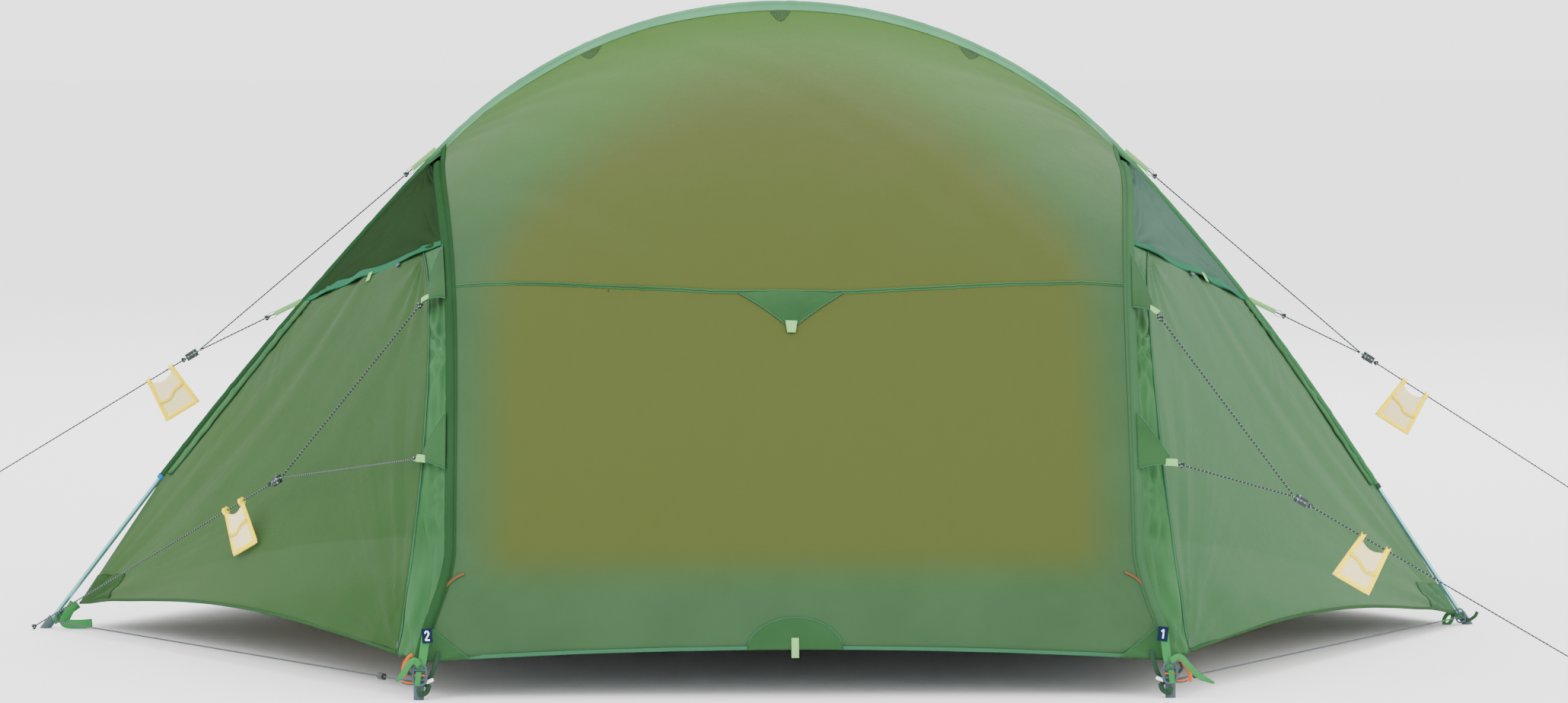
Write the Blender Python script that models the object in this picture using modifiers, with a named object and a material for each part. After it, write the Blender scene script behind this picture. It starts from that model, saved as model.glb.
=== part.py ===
"""Two-person ultralight tent: two hoop poles, a long ridge pole, an outer tent with two porches, an inner tent.

Metres, +Z up. The tent stands on z = 0. The ridge pole runs along X, the hoop poles arch along Y, and the
origin is the middle of the inner tent's floor, on the ground. -Y is the front.
"""

import math

import bmesh
import bpy
import numpy as np
from mathutils import Matrix, Vector

# Driving dimensions of the frame
TENT_TOP = 1.20  # top of the ridge sleeve
CROWN_RISE = 0.28  # the ridge pole's rise between a hoop and the middle
HOOP_X = 0.65  # a hoop pole's distance from the middle, at its feet and at its top
HOOP_REACH = 1.12  # a hoop foot's distance from the ridge line
HOOP_POWER = 2.2  # 2 is an ellipse, more is squarer
HOOP_PULL = 0.052  # how far the cloth draws a hoop inwards at mid height
HOOP_PULL_START = 0.05  # a hoop stands straight below this height
FOOT_REACH = {-1: 1.407, 1: 1.325}  # a ridge pole foot's distance from the middle, left and right
LEG_STEEPNESS = {-1: 1.0772, 1: 1.1176}  # slope of the ridge pole's end, over that of a line from hoop to foot
POLE_RADIUS = 0.0045
RIDGE_SLEEVE_RADIUS = 0.0075
HOOP_SLEEVE_RADIUS = 0.0085
SLEEVE_WALL = 0.0008
POLE_GAP = 0.0009  # between a pole and the side of its sleeve that it presses on
SLEEVE_CROSSING_GAP = 0.0006
RIDGE_SLEEVE_END = {-1: 1.185, 1: 1.150}
HOOP_SLEEVE_BOTTOM = 0.066

# Driving dimensions of the outer tent
CLOTH = 0.0006
SEWN_GAP = 0.0004  # between a panel's edge and the hoop sleeve that it is sewn to
RIDGE_SEWN_GAP = 0.0009  # between a porch panel's edge and the ridge sleeve
SEAM_GAP = 0.0006  # between two panels that are sewn together
END_HEM = 0.065  # height of the middle panels' hem at the hoops
END_HEM_ARCH = 0.020  # its rise half way between the hoops
SEAM_HEIGHT = 0.692  # height of the middle panels' level seam at the hoops
SEAM_DIP = 0.074  # how far the seam sinks half way, as a share of the panel's height
CROWN_FADE = 1.7  # how fast the crown's rise fades down a middle panel
PEAK_FADE = 20  # how fast the step up to the ridge sleeve fades at the crossings
END_HOLLOW = 0.05  # how far a middle panel is drawn in half way between the hoops, as a share
HOOD_RIDGE_HEIGHT = 0.622
HOOD_HOOP_HEIGHT = 0.768
HOOD_START = 0.030  # where the hood leaves the crossing of the poles
HOOD_OVER_ZIP = 0.003
TIP_X = {-1: 1.361, 1: 1.309}
TIP_DROP = {-1: 0.022, 1: 0.0015}  # how far the porch tip hangs below the ridge pole
TIP_HALF_GAP = {-1: 0.0010, 1: 0.0100}
PORCH_HEM_ARCH = 0.038
PORCH_SAG = 0.012
ZIP_BOTTOM = (0.690, -1.035, 0.068)
ZIP_MIDDLE = (0.645, -0.925, 0.465)
ZIP_TOP_SHARE = 0.865  # how far along the hood's edge the zip ends, from the ridge
ZIP_SLOT = 0.005

# Driving dimensions of the inner tent
INNER_HALF_LENGTH = 0.56
INNER_REACH = 1.03
INNER_END_HEIGHT = 0.83
INNER_TOP = 1.125
TUB_HEIGHT = 0.205  # top of the floor's walls
TUB_BOTTOM = 0.075  # the empty floor hangs from its corners, level with the outer tent's hem
TUB_CLOTH = 0.0010
DOOR_RADIUS = 0.30
DOOR_CENTRE = 0.465
DOOR_SILL = 0.240
DOOR_STEPS = 48

# Driving dimensions of the feet, straps and sliders
CUP_RADIUS = 0.009
CUP_HEIGHT = 0.048
CUP_FLOOR = 0.010
CUP_CLEARANCE = 0.0006
TIP_CUP_LENGTH = 0.024
GROUND_CUTTER = 0.1
STRAP_WIDTH = 0.014
STRAP_THICKNESS = 0.0012
STRAP_TOP = 0.118
STRAP_BOTTOM = 0.036
SLIDER_WING = 0.0064
SLIDER_LENGTH = 0.0120
SLIDER_WING_THICKNESS = 0.0013
SLIDER_STEM = 0.0034
SLIDER_THROAT = 0.0044
SLIDER_MARGIN = 0.018  # how far the slider stays from the zip's end
FLAP_HALF_WIDTH = 0.092
FLAP_DEPTH = 0.062
FLAP_THICKNESS = 0.0008
FLAP_STANDOFF = 0.0014
HANGER_WIDTH = 0.034
HANGER_GAP = 0.0009

# Driving dimensions of the cords and what is on them
CORD_RADIUS = 0.0014
CORD_GAP = 0.0004
ROOT_GAP = 0.0007  # between a leg's end and the sleeve
RUNNER_SIZE = (0.024, 0.014, 0.006)
POUCH_WIDTH = 0.067
POUCH_DEPTH = 0.082
POUCH_THICKNESS = 0.0020
GUY_END_HEIGHT = 0.045  # where an upper guyline ends
TAB_REACH = {-1: (0.052, 0.075), 1: (0.052, 0.059)}  # how far a lower guyline's tabs reach from the hoop
TAB_LIFT = 0.020  # how far their tips stand off the door
STOP_RADIUS = 0.006
STOP_LENGTH = 0.015

# Modelling steps
RIDGE_POINTS = 57
HOOP_ARCH_POINTS = 17
HOOP_ARCH_END = 0.26  # below this height the hoop's points are closer
HOOP_LEG_POINTS = 6
PANEL_COLUMNS = 10
PORCH_COLUMNS = 5
CANOPY_ROWS = 9
CANOPY_COLUMNS = 8
DENSE = 600

LEFT, RIGHT = -1, 1
FRONT, REAR = -1, 1
SIDE_NAME = {LEFT: "left", RIGHT: "right"}
END_NAME = {FRONT: "front", REAR: "rear"}

RIDGE_TOP = TENT_TOP - RIDGE_SLEEVE_RADIUS
SHOULDER = RIDGE_TOP - CROWN_RISE
FOOT_SLOPE = {
    side: math.atan(LEG_STEEPNESS[side] * SHOULDER / (FOOT_REACH[side] - HOOP_X)) for side in (LEFT, RIGHT)
}
CROWN_RADIUS = (HOOP_X**2 + CROWN_RISE**2) / (2 * CROWN_RISE)
CROSSING_SLOPE = math.asin(HOOP_X / CROWN_RADIUS)
CROSSING_DROP = (RIDGE_SLEEVE_RADIUS + HOOP_SLEEVE_RADIUS + SLEEVE_CROSSING_GAP) / math.cos(CROSSING_SLOPE)
HOOP_TOP = SHOULDER - CROSSING_DROP
HOOP_EDGE = HOOP_SLEEVE_RADIUS + SEWN_GAP

for existing in list(bpy.data.objects):
    bpy.data.objects.remove(existing, do_unlink=True)
parts = bpy.data.collections.new("ultralight_tent")
cutters = bpy.data.collections.new("cutters")
bpy.context.scene.collection.children.link(parts)
bpy.context.scene.collection.children.link(cutters)


def material(name, colour, roughness, metallic=0.0):
    """One Principled material."""
    made = bpy.data.materials.new(name)
    made.use_nodes = True
    shader = made.node_tree.nodes["Principled BSDF"]
    shader.inputs["Base Color"].default_value = (*colour, 1.0)
    shader.inputs["Roughness"].default_value = roughness
    shader.inputs["Metallic"].default_value = metallic
    return made


FLY = material("fly_cloth", (0.11, 0.24, 0.10), 0.45)
DOOR = material("door_cloth", (0.09, 0.20, 0.08), 0.45)
HOOD = material("hood_cloth", (0.05, 0.11, 0.04), 0.45)
SLEEVE = material("sleeve_cloth", (0.13, 0.36, 0.22), 0.5)
INNER = material("inner_cloth", (0.55, 0.36, 0.06), 0.6)
TUB = material("floor_cloth", (0.20, 0.22, 0.22), 0.6)
POLE = material("pole_alloy", (0.35, 0.62, 0.62), 0.3, 0.9)
PLASTIC = material("buckle_plastic", (0.02, 0.04, 0.05), 0.5)
WEBBING = material("webbing", (0.07, 0.33, 0.12), 0.7)
CORD = material("cord_fibre", (0.03, 0.06, 0.05), 0.8)
MESH = material("pouch_mesh", (0.90, 0.78, 0.40), 0.8)


# Points and curves


def unit(vectors):
    """Vectors of length one."""
    return vectors / np.linalg.norm(vectors, axis=-1, keepdims=True)


def evenly(points, count):
    """The same line through count points that lie evenly along it."""
    steps = np.linalg.norm(np.diff(points, axis=0), axis=1)
    along = np.concatenate([[0.0], np.cumsum(steps)])
    wanted = np.linspace(0.0, along[-1], count)
    return np.stack([np.interp(wanted, along, points[:, axis]) for axis in range(3)], axis=1)


def straight(first, last, count):
    """Points along a straight line."""
    share = np.linspace(0.0, 1.0, count)[:, None]
    return (1 - share) * np.asarray(first, float) + share * np.asarray(last, float)


def ridge_height(x):
    """Height of the ridge pole's middle line: a round crown, a flatter shoulder arc, then straight to the foot."""
    x = np.atleast_1d(np.asarray(x, float))
    start = CROSSING_SLOPE
    height = np.empty_like(x)
    for side in (LEFT, RIGHT):
        slope = FOOT_SLOPE[side]
        steep = math.tan(slope)
        fall = math.cos(start) - math.cos(slope)
        run = math.sin(slope) - math.sin(start)
        radius = (SHOULDER - steep * (FOOT_REACH[side] - HOOP_X)) / (fall - steep * run)
        here = x * side >= 0
        away = np.abs(x[here])
        turn = np.clip((away - HOOP_X) / radius + math.sin(start), -1.0, 1.0)
        crown = RIDGE_TOP - CROWN_RADIUS + np.sqrt(np.maximum(CROWN_RADIUS**2 - away**2, 0.0))
        shoulder = SHOULDER - radius * (math.cos(start) - np.sqrt(1 - turn**2))
        leg = steep * (FOOT_REACH[side] - away)
        middle = np.where(turn < math.sin(slope), shoulder, leg)
        height[here] = np.where(away <= HOOP_X, crown, middle)
    return height


def hoop_x(height):
    """A hoop's distance from the middle of the tent at a height."""
    share = np.clip((height - HOOP_PULL_START) / (HOOP_TOP - HOOP_PULL_START), 0.0, 1.0)
    ease = np.clip(share * 4, 0.0, 1.0)
    return HOOP_X - HOOP_PULL * ease**2 * (3 - 2 * ease) * (1 - share**6)


def lengths(line):
    """How far along a line each of its points is."""
    steps = np.linalg.norm(np.diff(line, axis=0), axis=1)
    return np.concatenate([[0.0], np.cumsum(steps)])


def point_at(line, length):
    """The points at some lengths along a line."""
    along = lengths(line)
    return np.stack([np.interp(length, along, line[:, axis]) for axis in range(3)], axis=-1)


def length_at(line, axis, value):
    """How far along a line one of its coordinates has a value. The coordinate only grows or only shrinks."""
    sign = 1 if line[-1, axis] > line[0, axis] else -1
    return float(np.interp(sign * value, sign * line[:, axis], lengths(line)))


def cut(line, start, end, split=1):
    """A line between two lengths along it, keeping its points there, with each step split in equal parts."""
    along = lengths(line)
    inside = along[(along > start + SEAM_GAP) & (along < end - SEAM_GAP)]
    stops = np.concatenate([[start], inside, [end]])
    shares = np.arange(split) / split
    wanted = (stops[:-1, None] + np.diff(stops)[:, None] * shares).ravel()
    return point_at(line, np.append(wanted, end))


def ridge_foot(side):
    """Where the ridge sleeve's line meets the ground and the unit direction up it."""
    up = np.array([-side * math.cos(FOOT_SLOPE[side]), 0.0, math.sin(FOOT_SLOPE[side])])
    return np.array([side * FOOT_REACH[side], 0.0, 0.0]), up


def ridge_line_end(side):
    """The lowest point of the ridge line, as high along it as the floor of its cup."""
    foot, up = ridge_foot(side)
    return foot + up * (CUP_FLOOR + SEWN_GAP)


def make_ridge_line():
    """The ridge sleeve's middle line, left to right and down to the feet, with a point at the very top."""
    halves = []
    for side in (LEFT, RIGHT):
        x = np.linspace(0.0, ridge_line_end(side)[0], DENSE)
        halves.append(evenly(np.stack([x, np.zeros(DENSE), ridge_height(x)], axis=1), RIDGE_POINTS // 2 + 1))
    return np.concatenate([halves[0][::-1], halves[1][1:]])


def make_half_hoop():
    """The middle line of the right hoop sleeve's rear half, top to bottom, and on down to the foot."""
    angle = np.linspace(0.0, math.pi / 2, DENSE)
    y = HOOP_REACH * np.sin(angle) ** (2 / HOOP_POWER)
    z = HOOP_TOP * np.cos(angle) ** (2 / HOOP_POWER)
    arch = np.stack([hoop_x(z), y, z], axis=1)[z > HOOP_ARCH_END]
    arch = evenly(arch, HOOP_ARCH_POINTS)
    low = np.linspace(HOOP_ARCH_END, HOOP_PULL_START, HOOP_LEG_POINTS + 1)[1:]
    low = np.append(low, CUP_FLOOR + SEWN_GAP)
    leg = np.stack([hoop_x(low), np.interp(-low, -z, y), low], axis=1)
    leg[-1, 1] = leg[-2, 1]
    arch[0] = (hoop_x(HOOP_TOP), 0.0, HOOP_TOP)
    return np.concatenate([arch, leg])


RIDGE = make_ridge_line()
HALF_HOOP = make_half_hoop()


def half_hoop(side, end):
    """Half of a hoop's middle line, from its top to its foot."""
    return HALF_HOOP * (side, end, 1)


def half_hoop_part(side, end, top, bottom, split=1):
    """Half of a hoop's middle line between two heights; a height of None is just beside the ridge."""
    line = half_hoop(side, end)
    start = HOOD_START if top is None else length_at(line, 2, top)
    return cut(line, start, length_at(line, 2, bottom), split)


def ridge_half(side):
    """Half of the ridge pole's middle line, from its top to its foot."""
    half = RIDGE[RIDGE[:, 0] * side >= 0]
    return half if side == RIGHT else half[::-1]


def ridge_part(side, start, end, count):
    """Even points of the ridge pole's middle line between two lengths from its top."""
    return point_at(ridge_half(side), np.linspace(start, end, count))


def circle_through(first, middle, last):
    """Centre, radius and unit axis of the circle through three points."""
    a, b, c = (Vector(point) for point in (first, middle, last))
    axis = (b - a).cross(c - a)
    along_b, along_c = b - a, c - a
    centre = a + (along_c.length_squared * axis.cross(along_b) + along_b.length_squared * along_c.cross(axis)) / (
        2 * axis.length_squared
    )
    return np.array(centre), (a - centre).length, np.array(axis.normalized())


def arc_line(first, middle, last, count, grow=0.0):
    """Even points of the arc through three points, with its radius made larger by grow."""
    centre, radius, axis = circle_through(first, middle, last)
    start = np.asarray(first, float) - centre
    side = np.cross(axis, start)
    reach = np.asarray(last, float) - centre
    angle = math.atan2(float(reach @ unit(side)), float(reach @ unit(start))) % (2 * math.pi)
    turn = np.linspace(0.0, angle, count)[:, None]
    return centre + (1 + grow / radius) * (np.cos(turn) * start + np.sin(turn) * side)


# Builders


def place(obj, finish):
    """Put a made object in the parts collection with its material."""
    obj.data.materials.clear()
    obj.data.materials.append(finish)
    for collection in list(obj.users_collection):
        collection.objects.unlink(obj)
    parts.objects.link(obj)
    return obj


def cloth(name, points, thickness, finish):
    """A panel from a grid of points, rows by columns, with a thickness."""
    rows, columns = points.shape[0] - 1, points.shape[1] - 1
    mesh = bpy.data.meshes.new(name)
    shape = bmesh.new()
    bmesh.ops.create_grid(shape, x_segments=columns, y_segments=rows, size=1.0)
    for vertex in shape.verts:
        column = round((vertex.co.x + 1) / 2 * columns)
        row = round((vertex.co.y + 1) / 2 * rows)
        vertex.co = points[row, column]
    shape.to_mesh(mesh)
    shape.free()
    mesh.shade_smooth()
    obj = place(bpy.data.objects.new(name, mesh), finish)
    shell = obj.modifiers.new("cloth", "SOLIDIFY")
    shell.thickness = thickness
    shell.offset = 0.0
    return obj


def tube(name, points, radius, finish, wall=None, resolution=2):
    """A round rod along points, or a hollow sleeve where it has a wall."""
    curve = bpy.data.curves.new(name, "CURVE")
    curve.dimensions = "3D"
    curve.bevel_depth = radius
    curve.bevel_resolution = resolution
    curve.use_fill_caps = wall is None
    spline = curve.splines.new("POLY")
    spline.points.add(len(points) - 1)
    for target, point in zip(spline.points, points):
        target.co = (*point, 1.0)
    obj = place(bpy.data.objects.new(name, curve), finish)
    if wall:
        skin = obj.modifiers.new("wall", "SOLIDIFY")
        skin.thickness = wall
    return obj


def outline(name, loops, thickness, finish):
    """A flat piece from closed outlines in its own XY plane; later outlines are holes."""
    curve = bpy.data.curves.new(name, "CURVE")
    curve.dimensions = "2D"
    curve.fill_mode = "BOTH"
    curve.extrude = thickness / 2
    for loop in loops:
        spline = curve.splines.new("POLY")
        spline.points.add(len(loop) - 1)
        spline.use_cyclic_u = True
        for target, (x, y) in zip(spline.points, loop):
            target.co = (x, y, 0.0, 1.0)
    return place(bpy.data.objects.new(name, curve), finish)


def turned(name, profile, steps, finish):
    """A piece turned about its own Z axis from a profile of radius and height."""
    mesh = bpy.data.meshes.new(name)
    points = [(radius, 0.0, height) for radius, height in profile]
    edges = [(index, index + 1) for index in range(len(profile) - 1)]
    mesh.from_pydata(points, edges, [])
    obj = place(bpy.data.objects.new(name, mesh), finish)
    spin = obj.modifiers.new("turn", "SCREW")
    spin.steps = steps
    spin.render_steps = steps
    spin.use_merge_vertices = True
    spin.merge_threshold = 0.0001
    return obj


def box(name, size, centre, finish):
    """A block with its three sizes and centre."""
    mesh = bpy.data.meshes.new(name)
    shape = bmesh.new()
    bmesh.ops.create_cube(shape, size=1.0)
    bmesh.ops.scale(shape, vec=size, verts=shape.verts)
    shape.to_mesh(mesh)
    shape.free()
    obj = place(bpy.data.objects.new(name, mesh), finish)
    obj.location = centre
    return obj


def frame_of(x_axis, y_axis, z_axis, origin):
    """The matrix whose columns are three axes and an origin."""
    columns = [Vector(axis) for axis in (x_axis, y_axis, z_axis)]
    matrix = Matrix(columns).transposed().to_4x4()
    matrix.translation = Vector(origin)
    return matrix


def across(points, toward):
    """For each point, the unit direction to its partner, square to the line of points."""
    tangent = unit(np.gradient(points, axis=0))
    away = toward - points
    away = away - np.sum(away * tangent, axis=1, keepdims=True) * tangent
    return unit(away)


def loft(first, last, columns, first_gap, last_gap, sag=0.0, hem_arch=0.0):
    """Straight rulings between two lines, held off each line by a gap, sagging inwards, with an arched hem."""
    start = first + first_gap * across(first, last)
    end = last + last_gap * across(last, first)
    share = np.linspace(0.0, 1.0, columns + 1)[None, :, None]
    grid = (1 - share) * start[:, None, :] + share * end[:, None, :]
    down = np.linspace(0.0, 1.0, len(first))[:, None, None]
    bow = np.sin(math.pi * share)
    inward = np.array([-np.sign(first[:, 0].mean()) * 0.9, -np.sign(last[:, 1].mean()) * 0.4, 0.0])
    grid = grid + sag * bow * np.sin(math.pi * down) * inward
    grid[..., 2:] += hem_arch * bow * down**4
    return grid


# Frame: poles and sleeves


def whole_hoop(side, bottom):
    """A hoop's middle line from front to rear, down to a height."""
    front = half_hoop_part(side, FRONT, HOOP_TOP, bottom)[::-1]
    rear = half_hoop_part(side, REAR, HOOP_TOP, bottom)
    return np.concatenate([front, rear[1:]])


def pole_line(line, sleeve_radius, plane_normal):
    """A pole's middle line: it presses on the outer side of its sleeve, so it runs outside the sleeve's line."""
    outward = np.cross(unit(np.gradient(line, axis=0)), plane_normal)
    outward = unit(outward) * np.sign(outward[len(line) // 2] @ (0, 0, 1))
    return line + outward * (sleeve_radius - SLEEVE_WALL - POLE_RADIUS - POLE_GAP)


def ridge_pole_line():
    """The ridge pole's middle line."""
    return pole_line(RIDGE, RIDGE_SLEEVE_RADIUS, (0.0, 1.0, 0.0))


def hoop_pole_line(side):
    """A hoop pole's middle line."""
    return pole_line(whole_hoop(side, CUP_FLOOR + SEWN_GAP), HOOP_SLEEVE_RADIUS, (1.0, 0.0, 0.0))


def make_poles():
    """One ridge pole and two hoop poles."""
    tube("ridge_pole", ridge_pole_line(), POLE_RADIUS, POLE)
    for side in (LEFT, RIGHT):
        tube(f"hoop_pole_{SIDE_NAME[side]}", hoop_pole_line(side), POLE_RADIUS, POLE)


def make_sleeves():
    """The cloth sleeves that the poles are pushed through."""
    ends = [length_at(RIDGE, 0, side * RIDGE_SLEEVE_END[side]) for side in (LEFT, RIGHT)]
    tube("ridge_sleeve", cut(RIDGE, *ends), RIDGE_SLEEVE_RADIUS, SLEEVE, SLEEVE_WALL)
    for side in (LEFT, RIGHT):
        line = whole_hoop(side, HOOP_SLEEVE_BOTTOM)
        tube(f"hoop_sleeve_{SIDE_NAME[side]}", line, HOOP_SLEEVE_RADIUS, SLEEVE, SLEEVE_WALL)


# Outer tent: the two middle panels


def seam_share(place_across):
    """How far down the middle panels the level seam is, as a share of the way from the ridge to the hem."""
    half = half_hoop_part(RIGHT, FRONT, HOOP_TOP, END_HEM)
    share = length_at(half, 2, SEAM_HEIGHT) / lengths(half)[-1]
    return share + SEAM_DIP * (1 - place_across**2)


def middle_panel(end, is_upper):
    """The upper or the lower part of a middle panel, as a grid of points.

    At share v of the way from the ridge to the hem, the panel runs from hoop to hoop. Its height is the hoop's,
    plus the ridge crown's rise over the hoops times (1 - v) to the power CROWN_FADE. Its depth is the hoop's,
    drawn in half way between the hoops by the share END_HOLLOW.
    """
    half = half_hoop_part(RIGHT, end, HOOP_TOP, END_HEM)
    total = lengths(half)[-1]
    reach = HOOP_SLEEVE_RADIUS + SEWN_GAP
    place_across = np.linspace(-1.0, 1.0, PANEL_COLUMNS + 1)
    seam, seam_end = seam_share(place_across), float(seam_share(1.0))
    shares = lengths(half) / total
    if is_upper:
        rows = np.append(shares[shares < seam_end - SEAM_GAP], seam_end)[:, None]
        v = rows * (seam - SEAM_GAP / total) / seam_end
    else:
        rows = np.append(seam_end, shares[shares > seam_end + SEAM_GAP])[:, None]
        v = 1 - (1 - rows) * (1 - seam - SEAM_GAP / total) / (1 - seam_end)
    hoop = point_at(half, v * total)
    edge = point_at(half, rows[:, 0] * total)[:, None, 0] - reach
    crossing = float(ridge_height(HOOP_X - reach)[0])
    crown = ridge_height(place_across * (HOOP_X - reach)) - crossing
    peak = (crossing - HOOP_TOP) * np.clip(1 - v * PEAK_FADE, 0.0, 1.0)
    middle = 1 - place_across**2
    grid = np.empty((*v.shape, 3))
    grid[..., 0] = place_across * edge
    grid[..., 1] = hoop[..., 1] * (1 - END_HOLLOW * middle * v * (1 - v) * 4)
    grid[..., 1] += end * (RIDGE_SLEEVE_RADIUS + SEWN_GAP) * (1 - v)
    grid[..., 2] = hoop[..., 2] + crown * (1 - v) ** CROWN_FADE + peak + END_HEM_ARCH * middle * v**6
    return grid


def make_middle_panels():
    """Front and rear middle panels, each an upper and a lower one that meet at a level seam."""
    for end in (FRONT, REAR):
        cloth(f"fly_{END_NAME[end]}_upper", middle_panel(end, True), CLOTH, FLY)
        cloth(f"fly_{END_NAME[end]}_lower", middle_panel(end, False), CLOTH, FLY)


# Outer tent: the porches


def porch_ridge(side, start, end, count):
    """The line that a porch panel hangs from, between two lengths from the ridge's top.

    Past the sleeve's end it leaves the ridge pole and drops to the porch tip.
    """
    line = ridge_part(side, start, end, count)
    below = tip_share(side, line)
    line[:, 0] -= side * below * TIP_DROP[side] * math.sin(FOOT_SLOPE[side])
    line[:, 2] -= below * TIP_DROP[side] * math.cos(FOOT_SLOPE[side])
    return line


def tip_share(side, line):
    """0 up to the ridge sleeve's end, then growing to 1 at the porch tip."""
    past = np.abs(line[:, 0]) - RIDGE_SLEEVE_END[side]
    return np.clip(past / (TIP_X[side] - RIDGE_SLEEVE_END[side]), 0.0, 1.0)


def ridge_gap(side, line):
    """How far a porch panel's edge stands off the ridge line: beside the sleeve, then closing in to the tip."""
    below = tip_share(side, line)
    return ((1 - below) * (RIDGE_SLEEVE_RADIUS + RIDGE_SEWN_GAP) + below * TIP_HALF_GAP[side])[:, None]


def ridge_lengths(side):
    """Lengths from the ridge's top to where the porch starts, to the hood's lower edge and to the porch tip."""
    half = ridge_half(side)
    start = length_at(half, 0, side * (HOOP_X + HOOD_START))
    return start, length_at(half, 2, HOOD_RIDGE_HEIGHT), length_at(half, 0, side * TIP_X[side])


def hood_grid(side):
    """The hood: a loft from the crossing of the poles down to its straight lower edge."""
    start, edge, _ = ridge_lengths(side)
    hoop = half_hoop_part(side, FRONT, None, HOOD_HOOP_HEIGHT)
    ridge = porch_ridge(side, start, edge, len(hoop))
    return loft(ridge, hoop, PORCH_COLUMNS, ridge_gap(side, ridge), HOOP_EDGE, PORCH_SAG / 2)


def zip_points(side):
    """Bottom, middle and top of a door's zip, which is an arc of a circle."""
    edge = hood_grid(side)[-1]
    top = (1 - ZIP_TOP_SHARE) * edge[0] + ZIP_TOP_SHARE * edge[-1]
    top[2] -= HOOD_OVER_ZIP
    bottom = np.array(ZIP_BOTTOM) * (side, 1, 1)
    middle = np.array(ZIP_MIDDLE) * (side, 1, 1)
    return bottom, middle, top


def door_lines(side):
    """The hoop beside a door and flap, the ridge above the door, and the zip between, all top to bottom."""
    hoop = half_hoop_part(side, FRONT, HOOD_HOOP_HEIGHT - HOOD_OVER_ZIP, ZIP_BOTTOM[2], 2)
    _, edge, tip = ridge_lengths(side)
    ridge = porch_ridge(side, edge + HOOD_OVER_ZIP, tip, len(hoop))
    points = zip_points(side)
    inner = arc_line(*points, len(hoop), -ZIP_SLOT / 2)[::-1]
    outer = arc_line(*points, len(hoop), ZIP_SLOT / 2)[::-1]
    return ridge, inner, outer, hoop


def make_porch(side):
    """A porch: a front with hood, door and zip flap, and a plain rear."""
    name = SIDE_NAME[side]
    cloth(f"{name}_hood", hood_grid(side), CLOTH, HOOD)
    ridge, inner, outer, hoop = door_lines(side)
    door = loft(ridge, inner, PORCH_COLUMNS, ridge_gap(side, ridge), 0.0, PORCH_SAG, PORCH_HEM_ARCH)
    cloth(f"{name}_door", door, CLOTH, DOOR)
    cloth(f"{name}_zip_flap", loft(outer, hoop, 2, 0.0, HOOP_EDGE), CLOTH, FLY)

    start, _, tip = ridge_lengths(side)
    hoop = half_hoop_part(side, REAR, None, ZIP_BOTTOM[2])
    ridge = porch_ridge(side, start, tip, len(hoop))
    rear = loft(ridge, hoop, PORCH_COLUMNS + 1, ridge_gap(side, ridge), HOOP_EDGE, PORCH_SAG, PORCH_HEM_ARCH)
    cloth(f"{name}_rear_panel", rear, CLOTH, DOOR)


def slider(name, point, along, normal):
    """A zip slider: two wings joined by a stem that stands in the zip's slot."""
    half_wing, half_stem = SLIDER_WING / 2, SLIDER_STEM / 2
    inner = SLIDER_THROAT / 2
    outer = inner + SLIDER_WING_THICKNESS
    quarter = [(half_wing, outer), (half_wing, inner), (half_stem, inner)]
    right = quarter + [(x, -y) for x, y in reversed(quarter)]
    left = [(-x, -y) for x, y in right]
    obj = outline(name, [right + left], SLIDER_LENGTH, PLASTIC)
    z_axis = unit(np.asarray(along, float))
    y_axis = np.asarray(normal, float) - np.dot(normal, z_axis) * z_axis
    y_axis = unit(y_axis)
    obj.matrix_world = frame_of(np.cross(y_axis, z_axis), y_axis, z_axis, point)
    return obj


def make_door_slider(side):
    """The slider of a porch door, at the bottom of its zip, closed."""
    line = arc_line(*zip_points(side), DENSE)
    start = int(np.searchsorted(lengths(line), SLIDER_MARGIN))
    point = line[start]
    along = line[start + 1] - line[start - 1]
    ridge, _, _, hoop = door_lines(side)
    to_ridge = unit(point_at(ridge, length_at(ridge, 2, point[2])) - point)
    to_hoop = unit(point_at(hoop, length_at(hoop, 2, point[2])) - point)
    slider(f"{SIDE_NAME[side]}_zip_slider", point, along, np.cross(along, to_ridge - to_hoop) * side)


# Inner tent


def inner_profile(end, bottom, count):
    """Half of the inner tent's end outline, from its top to a height, at even steps."""
    angle = np.linspace(0.0, math.pi / 2, DENSE)
    y = INNER_REACH * np.sin(angle) ** (2 / HOOP_POWER)
    z = INNER_END_HEIGHT * np.cos(angle) ** (2 / HOOP_POWER)
    keep = z >= bottom
    last = [[0.0, float(np.interp(-bottom, -z, y)), bottom]]
    points = np.concatenate([np.stack([0 * y[keep], y[keep], z[keep]], axis=1), last])
    points = evenly(points, count)
    points[:, 1] *= end
    return points


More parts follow.
